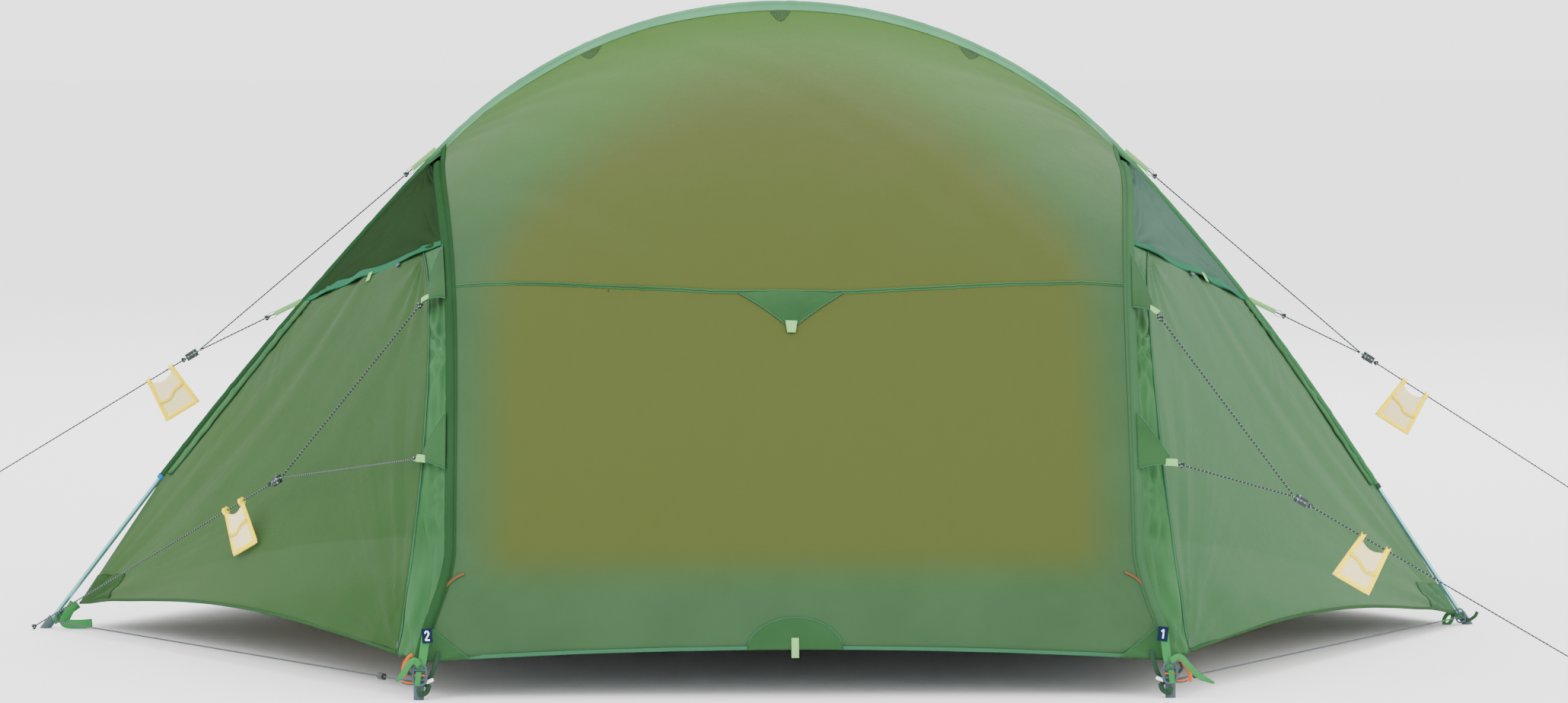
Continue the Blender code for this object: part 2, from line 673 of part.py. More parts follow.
def make_inner_tent():
    """Canopy halves, end walls with round-topped doors, and a tub floor."""
    rise = INNER_TOP - INNER_END_HEIGHT
    edge_x = INNER_HALF_LENGTH - CLOTH / 2 - SEWN_GAP
    for end in (FRONT, REAR):
        profile = inner_profile(end, TUB_HEIGHT + SEAM_GAP, CANOPY_ROWS)
        across_share = np.linspace(-1.0, 1.0, CANOPY_COLUMNS + 1)
        down = np.linspace(0.0, 1.0, len(profile))
        crown = rise * (1 - across_share**2)
        grid = np.empty((len(profile), len(across_share), 3))
        grid[..., 0] = across_share * edge_x
        grid[..., 1] = profile[:, 1:2] + end * SEAM_GAP * 1.2
        grid[..., 2] = profile[:, 2:] + crown * ((1 - down) ** CROWN_FADE)[:, None]
        cloth(f"inner_canopy_{END_NAME[end]}", grid, CLOTH, INNER)

    front = inner_profile(FRONT, TUB_HEIGHT + SEAM_GAP, 12)
    rear = inner_profile(REAR, TUB_HEIGHT + SEAM_GAP, 12)
    wall = [(point[1], point[2]) for point in np.concatenate([front[::-1], rear[1:]])]

    def door_outline(radius, sill):
        """An arc closed by a straight sill."""
        start = math.asin((sill - DOOR_CENTRE) / radius)
        turn = np.linspace(start, math.pi - start, DOOR_STEPS)
        return [(radius * math.cos(a), DOOR_CENTRE + radius * math.sin(a)) for a in turn]

    stand = Matrix.Rotation(math.pi / 2, 4, "Z") @ Matrix.Rotation(math.pi / 2, 4, "X")
    hole = door_outline(DOOR_RADIUS + ZIP_SLOT / 2, DOOR_SILL - SEAM_GAP)
    leaf = door_outline(DOOR_RADIUS - ZIP_SLOT / 2, DOOR_SILL)
    for side in (LEFT, RIGHT):
        where = Matrix.Translation((side * INNER_HALF_LENGTH, 0.0, 0.0)) @ stand
        end_wall = outline(f"inner_wall_{SIDE_NAME[side]}", [wall, hole], CLOTH, INNER)
        end_wall.matrix_world = where
        door = outline(f"inner_door_{SIDE_NAME[side]}", [leaf], CLOTH, INNER)
        door.matrix_world = where
        begin = math.asin((DOOR_SILL - DOOR_CENTRE) / DOOR_RADIUS) + SLIDER_MARGIN / DOOR_RADIUS
        point = (side * INNER_HALF_LENGTH, DOOR_RADIUS * math.cos(begin), DOOR_CENTRE + DOOR_RADIUS * math.sin(begin))
        along = (0.0, -math.sin(begin), math.cos(begin))
        slider(f"inner_zip_slider_{SIDE_NAME[side]}", point, along, (1.0, 0.0, 0.0))

    make_tub()
    top = float(ridge_height(0.0)[0]) - RIDGE_SLEEVE_RADIUS - HANGER_GAP
    bottom = INNER_TOP + CLOTH / 2 + SEWN_GAP
    size = (HANGER_WIDTH, STRAP_THICKNESS, top - bottom)
    box("apex_hanger", size, (0.0, 0.0, (top + bottom) / 2), WEBBING)


def make_tub():
    """The floor with its four low walls, an open box with a thickness."""
    profile = inner_profile(REAR, TUB_HEIGHT, 2)
    reach = float(profile[-1, 1])
    mesh = bpy.data.meshes.new("tub_floor")
    shape = bmesh.new()
    bmesh.ops.create_cube(shape, size=1.0)
    size = (2 * INNER_HALF_LENGTH, 2 * reach, TUB_HEIGHT - TUB_BOTTOM)
    bmesh.ops.scale(shape, vec=size, verts=shape.verts)
    bmesh.ops.translate(shape, vec=(0.0, 0.0, (TUB_HEIGHT + TUB_BOTTOM) / 2), verts=shape.verts)
    lid = [face for face in shape.faces if face.normal.z > 0.5]
    bmesh.ops.delete(shape, geom=lid, context="FACES_ONLY")
    shape.to_mesh(mesh)
    shape.free()
    obj = place(bpy.data.objects.new("tub_floor", mesh), TUB)
    shell = obj.modifiers.new("cloth", "SOLIDIFY")
    shell.thickness = TUB_CLOTH


# Feet and straps


def cup_profile(height):
    """A cup's profile: up the bore, over the rim and down the outside."""
    bore = POLE_RADIUS + CUP_CLEARANCE
    return [(0.0, CUP_FLOOR), (bore, CUP_FLOOR), (bore, height), (CUP_RADIUS, height), (CUP_RADIUS, 0.0), (0.0, 0.0)]


def make_feet():
    """A cup under each end of each pole. The ridge pole's cups lean with it and are cut flat on the ground."""
    for side in (LEFT, RIGHT):
        hoop = hoop_pole_line(side)
        for end, foot in ((FRONT, hoop[0]), (REAR, hoop[-1])):
            cup = turned(f"foot_cup_{END_NAME[end]}_{SIDE_NAME[side]}", cup_profile(CUP_HEIGHT), 16, PLASTIC)
            cup.location = (foot[0], foot[1], 0.0)
        foot, up = ridge_pole_line()[0 if side == LEFT else -1], ridge_foot(side)[1]
        foot = foot - up * (CUP_FLOOR + SEWN_GAP)
        below = CUP_RADIUS / math.tan(FOOT_SLOPE[side])
        profile = [(radius, height if height else -below) for radius, height in cup_profile(TIP_CUP_LENGTH)]
        cup = turned(f"foot_cup_tip_{SIDE_NAME[side]}", profile, 16, PLASTIC)
        lean = Vector((0, 0, 1)).rotation_difference(Vector(up)).to_matrix().to_4x4()
        cup.matrix_world = Matrix.Translation(Vector(foot)) @ lean
        size = (GROUND_CUTTER, GROUND_CUTTER, GROUND_CUTTER)
        ground = box(f"ground_cutter_{SIDE_NAME[side]}", size, (foot[0], 0.0, -GROUND_CUTTER / 2), PLASTIC)
        parts.objects.unlink(ground)
        cutters.objects.link(ground)
        ground.hide_render = True
        ground.display_type = "WIRE"
        flat = cup.modifiers.new("ground", "BOOLEAN")
        flat.object = ground


def make_corner_straps():
    """A webbing strap down the front of each front hoop foot."""
    for side in (LEFT, RIGHT):
        foot = hoop_pole_line(side)[0]
        y = foot[1] - CUP_RADIUS - SEWN_GAP - STRAP_THICKNESS / 2
        size = (STRAP_WIDTH, STRAP_THICKNESS, STRAP_TOP - STRAP_BOTTOM)
        box(f"corner_strap_{SIDE_NAME[side]}", size, (foot[0], y, (STRAP_TOP + STRAP_BOTTOM) / 2), WEBBING)


def make_vent_flaps():
    """A triangular flap under the level seam at the front and at the rear, lying on the cloth."""
    for end in (FRONT, REAR):
        grid = middle_panel(end, False)
        middle = PANEL_COLUMNS // 2
        top, below = grid[0, middle], grid[1, middle]
        down = unit(below - top)
        out = unit(np.cross(np.array([1.0, 0.0, 0.0]), down)) * (-end)
        out = out if out[1] * end > 0 else -out
        loop = [(-FLAP_HALF_WIDTH, 0.0), (0.0, -FLAP_DEPTH), (FLAP_HALF_WIDTH, 0.0)]
        obj = outline(f"vent_flap_{END_NAME[end]}", [loop], FLAP_THICKNESS, HOOD)
        x_axis = np.cross(-down, out)
        obj.matrix_world = frame_of(x_axis, -down, out, top + out * FLAP_STANDOFF)


# Cords: guylines with their runners and pouches, and the base cords with their stops


def anchor(line, length, standoff, toward):
    """A point beside a sleeve, at a length along its line, for a cord that leaves towards another point."""
    near = point_at(line, np.array([length - CORD_RADIUS, length, length + CORD_RADIUS]))
    out = across(near, np.tile(toward, (3, 1)))[1]
    return near[1] + out * (standoff + ROOT_GAP)


def hoop_root(side, height, reach, knot):
    """Where a lower guyline's leg starts on a hoop sleeve, and the tip of the tab that it leaves from."""
    line = half_hoop(side, FRONT)
    length = length_at(line, 2, height)
    point = point_at(line, length)
    ridge = ridge_half(side)
    beside = point_at(ridge, length_at(ridge, 2, height))
    lower = point_at(ridge, length_at(ridge, 2, height / 2))
    outward = unit(np.cross(beside - point, lower - beside))
    outward = outward * math.copysign(1.0, -outward[1])
    tip = point + reach * unit(knot - point) + TAB_LIFT * outward
    return anchor(line, length, HOOP_SLEEVE_RADIUS, tip), tip


def ridge_root(side, x, knot):
    """Where an upper guyline's leg starts on the ridge sleeve."""
    line = ridge_half(side)
    return anchor(line, length_at(line, 0, side * x), RIDGE_SLEEVE_RADIUS + CORD_RADIUS, knot)


# Where each guyline's legs meet, where its main line ends, how far along it the pouch hangs, and its two roots
GUYS = {
    "upper_left": {"knot": (-1.113, 0.0, 0.531), "end": (-1.914, 0.0, GUY_END_HEIGHT), "pouch": 0.085},
    "upper_right": {"knot": (1.119, 0.0, 0.522), "end": (1.860, 0.0, GUY_END_HEIGHT), "pouch": 0.122},
    "lower_left": {"knot": (-0.920, -0.572, 0.337), "end": (-1.430, -0.020, 0.004), "pouch": 0.150},
    "lower_right": {"knot": (0.882, -0.952, 0.333), "end": (1.445, -0.950, 0.004), "pouch": 0.165},
}
UPPER_ROOTS = {LEFT: (0.659, 0.917), RIGHT: (0.663, 0.903)}
LOWER_ROOTS = {LEFT: (0.690, 0.402), RIGHT: (0.672, 0.400)}


def make_guys():
    """Four guylines: two legs from the tent to a runner, one line on to the ground, and a pouch on the line."""
    for name, guy in GUYS.items():
        side = LEFT if name.endswith("left") else RIGHT
        knot = np.array(guy["knot"])
        end = np.array(guy["end"])
        if name.startswith("upper"):
            first, last = (ridge_root(side, x, knot) for x in UPPER_ROOTS[side])
            legs = [first, knot, last]
        else:
            tabs = zip(LOWER_ROOTS[side], TAB_REACH[side])
            (first, first_tip), (last, last_tip) = (hoop_root(side, *tab, knot) for tab in tabs)
            legs = [first, first_tip, knot, last_tip, last]
        tube(f"guy_{name}_legs", np.array(legs), CORD_RADIUS, CORD)
        along = unit(end - knot)
        length, width, thickness = RUNNER_SIZE
        side_axis = unit(np.cross(along, (0.0, 0.0, 1.0)))
        up_axis = np.cross(side_axis, along)
        centre = knot + along * (CORD_RADIUS + CORD_GAP + length / 2)
        runner = box(f"guy_{name}_runner", (length, thickness, width), (0, 0, 0), PLASTIC)
        runner.matrix_world = frame_of(along, side_axis, up_axis, centre)
        start = knot + along * (CORD_RADIUS + CORD_GAP + length + CORD_GAP)
        tube(f"guy_{name}_line", straight(start, end, 4), CORD_RADIUS, CORD)
        hang = knot + along * guy["pouch"]
        drop = POUCH_DEPTH / 2 + CORD_RADIUS + CORD_GAP
        pouch = box(f"guy_{name}_pouch", (POUCH_WIDTH, POUCH_THICKNESS, POUCH_DEPTH), (0, 0, 0), MESH)
        pouch.matrix_world = frame_of(along, side_axis, up_axis, hang - up_axis * drop)


# Where each base cord runs from the tip foot to the front foot, and how far along it the stop sits
BASE_CORD_RISE = 0.006
BASE_CORD_HEIGHT = 0.030
STOP_SHARE = {LEFT: 0.915, RIGHT: 0.925}


def make_base_cords():
    """A cord along the ground from each ridge pole foot to the front hoop foot, with a stop that slides on it."""
    for side in (LEFT, RIGHT):
        tip = ridge_pole_line()[0 if side == LEFT else -1] + ridge_foot(side)[1] * BASE_CORD_RISE
        hoop = hoop_pole_line(side)[0] * (1, 1, 0) + np.array([0.0, 0.0, BASE_CORD_HEIGHT])
        along = unit(hoop - tip)
        start = tip + along * (CUP_RADIUS + CORD_GAP + 0.0016)
        end = hoop - along * (CUP_RADIUS + CORD_GAP + 0.0004)
        tube(f"base_cord_{SIDE_NAME[side]}", straight(start, end, 4), CORD_RADIUS, CORD)
        bore = CORD_RADIUS + CORD_GAP
        half = STOP_LENGTH / 2
        profile = [(bore, -half), (bore, half), (STOP_RADIUS, half), (STOP_RADIUS, -half), (bore, -half)]
        stop = turned(f"cord_stop_{SIDE_NAME[side]}", profile, 12, PLASTIC)
        lean = Vector((0, 0, 1)).rotation_difference(Vector(along)).to_matrix().to_4x4()
        centre = (1 - STOP_SHARE[side]) * start + STOP_SHARE[side] * end
        stop.matrix_world = Matrix.Translation(Vector(centre)) @ lean


make_poles()
make_sleeves()
make_middle_panels()
for porch_side in (LEFT, RIGHT):
    make_porch(porch_side)
    make_door_slider(porch_side)
make_vent_flaps()
make_inner_tent()
make_feet()
make_corner_straps()
make_guys()
make_base_cords()
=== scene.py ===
import math

import bpy
import numpy as np
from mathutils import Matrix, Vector


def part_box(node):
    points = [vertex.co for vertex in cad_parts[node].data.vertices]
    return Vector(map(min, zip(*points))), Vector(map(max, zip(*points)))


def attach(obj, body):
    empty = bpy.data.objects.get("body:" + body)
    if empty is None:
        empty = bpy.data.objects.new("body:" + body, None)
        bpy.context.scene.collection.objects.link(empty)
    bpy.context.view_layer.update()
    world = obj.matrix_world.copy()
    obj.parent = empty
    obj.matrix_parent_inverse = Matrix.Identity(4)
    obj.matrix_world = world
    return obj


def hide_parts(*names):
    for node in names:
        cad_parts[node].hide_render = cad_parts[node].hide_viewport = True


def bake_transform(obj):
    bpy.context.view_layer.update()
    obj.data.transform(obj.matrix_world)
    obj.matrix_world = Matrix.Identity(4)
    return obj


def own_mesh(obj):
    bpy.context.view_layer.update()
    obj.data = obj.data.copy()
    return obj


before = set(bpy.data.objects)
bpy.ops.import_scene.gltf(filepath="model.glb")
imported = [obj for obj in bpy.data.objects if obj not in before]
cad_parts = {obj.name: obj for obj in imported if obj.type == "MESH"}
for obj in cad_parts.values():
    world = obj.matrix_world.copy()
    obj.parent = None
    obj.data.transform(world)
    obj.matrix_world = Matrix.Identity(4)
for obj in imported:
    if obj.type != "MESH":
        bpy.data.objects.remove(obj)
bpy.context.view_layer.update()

# Sizes that the CAD has too, in metres
TENT_TOP = 1.20
CROWN_RISE = 0.28
HOOP_X = 0.65
HOOP_REACH = 1.12
HOOP_POWER = 2.2
HOOP_PULL = 0.052
HOOP_PULL_START = 0.05
FOOT_REACH = {-1: 1.407, 1: 1.325}
LEG_STEEPNESS = {-1: 1.0772, 1: 1.1176}
RIDGE_SLEEVE_RADIUS = 0.0075
HOOP_SLEEVE_RADIUS = 0.0085
SLEEVE_CROSSING_GAP = 0.0006
SLEEVE_WALL = 0.0008
RIDGE_SLEEVE_END = {-1: 1.185, 1: 1.150}
HOOP_SLEEVE_BOTTOM = 0.066
END_HEM = 0.065
END_HEM_ARCH = 0.020
SEAM_HEIGHT = 0.692
SEAM_DIP = 0.074
CROWN_FADE = 1.7
END_HOLLOW = 0.05
HOOD_RIDGE_HEIGHT = 0.622
HOOD_HOOP_HEIGHT = 0.768
HOOD_START = 0.006  # the seams start closer to the poles' crossing than in the CAD
HOOD_OVER_ZIP = 0.003
TIP_X = {-1: 1.361, 1: 1.309}
TIP_DROP = {-1: 0.022, 1: 0.0015}
TIP_HALF_GAP = {-1: 0.0010, 1: 0.0100}
PORCH_HEM_ARCH = 0.038
PORCH_SAG = 0.012
ZIP_BOTTOM = (0.690, -1.035, 0.068)
ZIP_MIDDLE = (0.645, -0.925, 0.465)
ZIP_TOP_SHARE = 0.865
ZIP_SLOT = 0.005
INNER_HALF_LENGTH = 0.56
INNER_REACH = 1.03
INNER_END_HEIGHT = 0.83
INNER_TOP = 1.125
TUB_HEIGHT = 0.205
TUB_BOTTOM = 0.075
DOOR_RADIUS = 0.30
DOOR_CENTRE = 0.465
DOOR_SILL = 0.240
CORD_RADIUS = 0.0014
CORD_GAP = 0.0004
ROOT_GAP = 0.0007
RUNNER_SIZE = (0.024, 0.014, 0.006)
POUCH_WIDTH = 0.067
POUCH_DEPTH = 0.082
POUCH_SCOOP = 0.012
TAB_REACH = {-1: (0.052, 0.075), 1: (0.052, 0.059)}
TAB_LIFT = 0.020
CUP_RADIUS = 0.009
CUP_FLOOR = 0.010
POLE_RADIUS = 0.0045
POLE_GAP = 0.0009
FOOT_PLAY = 0.0004
CLOTH = 0.0006

LEFT, RIGHT = SIDES = (-1, 1)
FRONT, REAR = ENDS = (-1, 1)
SIDE_NAME = {LEFT: "left", RIGHT: "right"}
END_NAME = {FRONT: "front", REAR: "rear"}

RIDGE_TOP = TENT_TOP - RIDGE_SLEEVE_RADIUS
SHOULDER = RIDGE_TOP - CROWN_RISE
FOOT_SLOPE = {
    side: math.atan(LEG_STEEPNESS[side] * SHOULDER / (FOOT_REACH[side] - HOOP_X)) for side in SIDES
}
CROWN_RADIUS = (HOOP_X**2 + CROWN_RISE**2) / (2 * CROWN_RISE)
CROSSING_SLOPE = math.asin(HOOP_X / CROWN_RADIUS)
CROSSING_DROP = (RIDGE_SLEEVE_RADIUS + HOOP_SLEEVE_RADIUS + SLEEVE_CROSSING_GAP) / math.cos(CROSSING_SLOPE)
HOOP_TOP = SHOULDER - CROSSING_DROP
DENSE = 800  # points on a line that others are cut from

SIDEWAYS = np.array([1.0, 0.0, 0.0])
FORWARD = np.array([0.0, -1.0, 0.0])
UPRIGHT = np.array([0.0, 0.0, 1.0])


# Shading


def light(red, green, blue):
    """A colour as light values, from the 0 to 255 values that it has on a screen."""
    values = np.array([red, green, blue]) / 255
    return tuple(np.where(values <= 0.04045, values / 12.92, ((values + 0.055) / 1.055) ** 2.4))


def scaled(colour, share, lift=0.0):
    """A colour's light values times a share, with the same small lift on each, and at most 1."""
    return tuple(min(1.0, share * part + lift) for part in colour)


class Value:
    """A number that varies over a surface. Arithmetic on it adds Math nodes."""

    def __init__(self, shading, socket):
        self.shading = shading
        self.socket = socket

    def maths(self, operation, *values):
        """The result of a Math node."""
        node = self.shading.node("ShaderNodeMath", {"operation": operation}, *values)
        return Value(self.shading, node.outputs[0])

    def __add__(self, other):
        return self.maths("ADD", self, other)

    def __sub__(self, other):
        return self.maths("SUBTRACT", self, other)

    def __rsub__(self, other):
        return self.maths("SUBTRACT", other, self)

    def __mul__(self, other):
        return self.maths("MULTIPLY", self, other)

    __radd__ = __add__
    __rmul__ = __mul__

    def wave(self):
        """The sine of this number."""
        return self.maths("SINE", self)

    def waves(self, length):
        """A sine along this number, one wave to each length."""
        return (self * (math.tau / length)).wave()

    def biggest(self, other):
        """The bigger of this number and another."""
        return self.maths("MAXIMUM", self, other)

    def size(self):
        """This number without its sign."""
        return self.maths("ABSOLUTE", self)

    def ramp(self, low, high):
        """0 below low, 1 above high, and a smooth rise between."""
        settings = {"interpolation_type": "SMOOTHSTEP"}
        node = self.shading.node("ShaderNodeMapRange", settings, self, low, high)
        return Value(self.shading, node.outputs[0])


class Shading:
    """One material's node tree."""

    def __init__(self, name):
        self.material = bpy.data.materials.new(name)
        self.material.use_nodes = True
        self.tree = self.material.node_tree
        self.shader = self.tree.nodes["Principled BSDF"]

    def node(self, kind, settings=None, *values, **named):
        """Add a node. Its settings come first, then its inputs in order, then its inputs by name."""
        made = self.tree.nodes.new(kind)
        for key, value in (settings or {}).items():
            setattr(made, key, value)
        for index, value in enumerate(values):
            self.feed(made.inputs[index], value)
        for key, value in named.items():
            self.feed(made.inputs[key.replace("_", " ")], value)
        return made

    def feed(self, socket, value):
        """Link or set one input."""
        if isinstance(value, Value):
            value = value.socket
        if isinstance(value, bpy.types.NodeSocket):
            self.tree.links.new(value, socket)
        else:
            if socket.type == "RGBA":
                value = (*value, 1.0)
            socket.default_value = value

    def set(self, **named):
        """Feed the shader's own inputs."""
        for key, value in named.items():
            self.feed(self.shader.inputs[key.replace("_", " ")], value)

    def parts(self, kind="Object"):
        """The three numbers of a texture coordinate."""
        coordinate = self.node("ShaderNodeTexCoord").outputs[kind]
        node = self.node("ShaderNodeSeparateXYZ", None, coordinate)
        return [Value(self, node.outputs[axis]) for axis in range(3)]

    def noise(self, scale, detail=2.0):
        """A noise from 0 to 1."""
        vector = self.node("ShaderNodeTexCoord").outputs["Object"]
        node = self.node("ShaderNodeTexNoise", None, Vector=vector, Scale=scale, Detail=detail)
        return Value(self, node.outputs["Fac"])

    def mix(self, share, first, second):
        """A colour between two."""
        node = self.node("ShaderNodeMix", {"data_type": "RGBA"})
        for index, value in ((0, share), (6, first), (7, second)):
            self.feed(node.inputs[index], value)
        return node.outputs[2]

    def bump(self, height, distance):
        """Raise the surface by a height that runs from 0 to 1, times a distance in metres."""
        node = self.node("ShaderNodeBump", None, Strength=1.0, Distance=distance, Height=height)
        self.feed(self.shader.inputs["Normal"], node.outputs["Normal"])
        return self.material


RIPSTOP = 0.0055  # spacing of the thicker threads
THREAD = 0.0011
GRID_SHARE = 0.10  # how far the thicker threads darken and raise the cloth
CLOTH_SHINE = 0.10
CREASE_SCALE = 24.0


def cloth_material(name, colour, deep, opacity, roughness=0.6, crease=0.0010, paint=None, shine=CLOTH_SHINE):
    """Thin coated cloth: a ripstop grid on the panel's own metres, soft uneven colour and small creases.

    Paint, where given, lays another colour over the cloth's own.
    """
    made = Shading(name)
    colour, deep = light(*colour), light(*deep)
    across, along, _ = made.parts("UV")
    grid = across.waves(RIPSTOP).biggest(along.waves(RIPSTOP)).ramp(0.90, 1.0)
    base = made.mix(made.noise(7.0, 3.0).ramp(0.3, 0.7), colour, deep)
    if paint:
        base = paint(made, base)
    base = made.mix(grid * GRID_SHARE, base, scaled(colour, 0.5))
    made.set(Base_Color=base, Roughness=roughness + 0.12 * made.noise(90.0), Specular_IOR_Level=shine)
    made.set(Alpha=opacity + 0.05 * grid)
    weave = across.waves(THREAD) * along.waves(THREAD)
    return made.bump(made.noise(CREASE_SCALE, 3.0) + 0.04 * weave + GRID_SHARE * grid, crease)


# Painted light on the middle panels: the inner tent glowing through the cloth, and a lit top
GLOW_HALF_WIDTH = 0.535
GLOW_EDGE = 0.06
GLOW_FALL = 1.1  # how fast the arch over the glow comes down, per metre squared
GLOW_TOP = (0.98, 1.17)
GLOW_BOTTOM = (0.17, 0.27)
PAINTED_GLOW_OLIVE = light(69, 78, 38)
PAINTED_TOP_LIGHT = light(64, 95, 44)


def painted_inner_glow(made, green):
    """The middle panels' colour, with painted light: olive where the mustard inner tent is close behind, as
    light through the cloth would make it, and paler near the top as painted top light.

    The olive is the product of three soft steps: across, above the floor's walls, and under an arch whose
    height falls with the square of the distance from the middle.
    """
    across, _, height = made.parts()
    side = 1 - across.size().ramp(GLOW_HALF_WIDTH - GLOW_EDGE, GLOW_HALF_WIDTH + GLOW_EDGE)
    arch = 1 - (height + across * across * GLOW_FALL).ramp(*GLOW_TOP)
    share = side * arch * height.ramp(*GLOW_BOTTOM)
    return made.mix(share, made.mix(height.ramp(0.7, 1.15), green, PAINTED_TOP_LIGHT), PAINTED_GLOW_OLIVE)


TIP_PALE = light(150, 178, 130)
SIDE_SHARE = 0.55  # how much of the cloth's colour the painted side light takes up


def painted_side_light(left, right, far=0.0):
    """Painted light: a colour that goes from one at the left end of the tent, more shaded, to another at the
    right end, more lit.

    Far is how much paler the colour grows towards the tips.
    """

    def paint(made, base):
        """Lay the side's painted light over the base."""
        across, _, _ = made.parts()
        colour = made.mix(across.ramp(-0.7, 0.7), light(*left), light(*right))
        grown = made.mix(across.size().ramp(0.7, 1.35) * far, colour, TIP_PALE)
        return made.mix(SIDE_SHARE, base, grown)

    return paint


def sleeve_legs_and_side_light(made, base):
    """The ridge sleeve's colour: its own over the crown, darker down both legs, with painted side light that
    makes the right leg paler than the left.
    """
    across, _, _ = made.parts()
    leg = made.mix(across.ramp(-0.1, 0.1), light(34, 68, 40), light(50, 98, 62))
    return made.mix(across.size().ramp(0.60, 0.72), base, leg)


def woven_material(name, colour, deep, pitch=0.0012, painted_glow_strength=0.0):
    """Webbing or binding tape: ribs across the tape, with worn and shaded threads. Bright tapes get a painted
    emission of their own colour.
    """
    made = Shading(name)
    colour, deep = light(*colour), light(*deep)
    across, along, _ = made.parts("UV")
    ribs = along.waves(pitch) * across.waves(pitch) * 0.5 + 0.5
    worn = made.noise(220.0, 3.0)
    base = made.mix(ribs * 0.5 + worn * 0.4, deep, colour)
    made.set(Base_Color=base, Roughness=0.75 + 0.1 * worn, Specular_IOR_Level=CLOTH_SHINE)
    made.set(Emission_Color=colour, Emission_Strength=painted_glow_strength)
    return made.bump(ribs, 0.0004)


STRANDS = 4  # strands side by side round a cord
STRAND_LENGTH = 0.006
FLECK_LENGTH = 0.0075


def cord_material(name, colour, fleck):
    """Braided cord: diagonal strands with pale flecks."""
    made = Shading(name)
    across, along, _ = made.parts("UV")
    turn = across * (STRANDS * math.tau)
    slant = along * (math.tau / STRAND_LENGTH)
    flecks = (turn * 0.5 + along * (math.tau / FLECK_LENGTH)).wave().ramp(0.72, 0.95)
    made.set(Base_Color=made.mix(flecks * 0.55, light(*colour), light(*fleck)), Roughness=0.8)
    return made.bump((turn + slant).wave() * (turn - slant).wave() * 0.5 + 0.5, 0.0003)


NET_HOLE = 0.0026


def net_material(name, colour, painted_glow_strength):
    """Fine net: a diamond grid of threads with clear holes, brightened by a painted emission in its own
    colour that stands in for light from behind.
    """
    made = Shading(name)
    colour = light(*colour)
    across, along, _ = made.parts("UV")
    first, second = ((across + along).waves(NET_HOLE).size(), (across - along).waves(NET_HOLE).size())
    threads = (1 - first).biggest(1 - second).ramp(0.30, 0.62)
    made.set(Base_Color=made.mix(made.noise(60.0) * 0.5, colour, scaled(colour, 0.8)), Roughness=0.85)
    made.set(Alpha=threads * 0.40 + 0.58, Emission_Color=colour, Emission_Strength=painted_glow_strength)
    return made.bump(threads, 0.0004)


def plastic_material(name, colour, roughness=0.45):
    """Moulded plastic with a fine grain and pale rubbed spots."""
    made = Shading(name)
    colour = light(*colour)
    grain = made.noise(900.0)
    rubbed = made.noise(70.0, 4.0).ramp(0.62, 0.80)
    base = made.mix(rubbed * 0.5, colour, scaled(colour, 1.8, 0.02))
    made.set(Base_Color=base, Roughness=roughness + 0.15 * grain)
    return made.bump(grain, 0.00015)


def alloy_material(name, colour):
    """Anodised alloy tube, drawn along its length, with light scuffs."""
    made = Shading(name)
    colour = light(*colour)
    scuffs = made.noise(300.0, 4.0).ramp(0.55, 0.85)
    base = made.mix(scuffs * 0.4, colour, scaled(colour, 1.25))
    made.set(Base_Color=base, Metallic=0.85, Roughness=0.26 + 0.14 * made.noise(15.0))
    return made.bump(scuffs, 0.00005)


def floor_material():
    """A pale, even floor."""
    made = Shading("pale_floor")
    made.set(Base_Color=(0.93, 0.93, 0.93), Roughness=0.95, Specular_IOR_Level=0.05)
    return made.material


# Colours are given as they look on a screen: the usual one, then a darker one, which cloth takes in random
# clouds and tape takes in its worn threads and as painted shade between its ribs
CLOTHS = {
    # panel, door, hood, sleeve, hoop and reinforced cloths take painted light from their paint: the inner
    # tent glowing through the panels, a lit top and a lit right side
    "panel": ("panel_cloth", (54, 82, 54), (51, 78, 51), 0.95, {"paint": painted_inner_glow, "shine": 0.05}),
    "door": ("door_cloth", (46, 78, 39), (43, 74, 37), 0.92, {
        "paint": painted_side_light((39, 71, 30), (57, 98, 66), 0.10)}),
    "hood": ("hood_cloth", (39, 59, 39), (36, 55, 36), 1.0, {
        "roughness": 0.9, "crease": 0.0026, "paint": painted_side_light((37, 55, 32), (84, 113, 102)), "shine": 0.0}),
    "sleeve": ("sleeve_cloth", (80, 134, 98), (72, 124, 90), 1.0, {
        "roughness": 0.7, "crease": 0.0016, "paint": sleeve_legs_and_side_light, "shine": 0.04}),
    "hoop": ("hoop_sleeve_cloth", (42, 76, 45), (36, 66, 40), 1.0, {
        "roughness": 0.8, "crease": 0.0020, "paint": painted_side_light((36, 64, 38), (66, 98, 70)), "shine": 0.0}),
    "strip": ("strip_cloth", (52, 97, 57), (43, 84, 47), 0.94, {}),
    "patch": ("patch_cloth", (44, 80, 46), (38, 73, 40), 0.94, {}),
    "reinforced": ("reinforced_cloth", (38, 70, 34), (35, 66, 31), 0.97, {
        "paint": painted_side_light((36, 67, 28), (54, 94, 62))}),
    "vent": ("vent_cloth", (42, 80, 44), (36, 70, 38), 1.0, {}),
    # a faint darker sheet: painted shade where the inner tent hangs behind the fly
    "shade": ("hanger_patch_cloth", (58, 86, 52), (50, 76, 46), 0.40, {}),
    "inner": ("inner_cloth", (200, 168, 40), (184, 150, 32), 1.0, {}),
    "floor": ("tub_cloth", (120, 130, 128), (104, 116, 116), 1.0, {}),
}
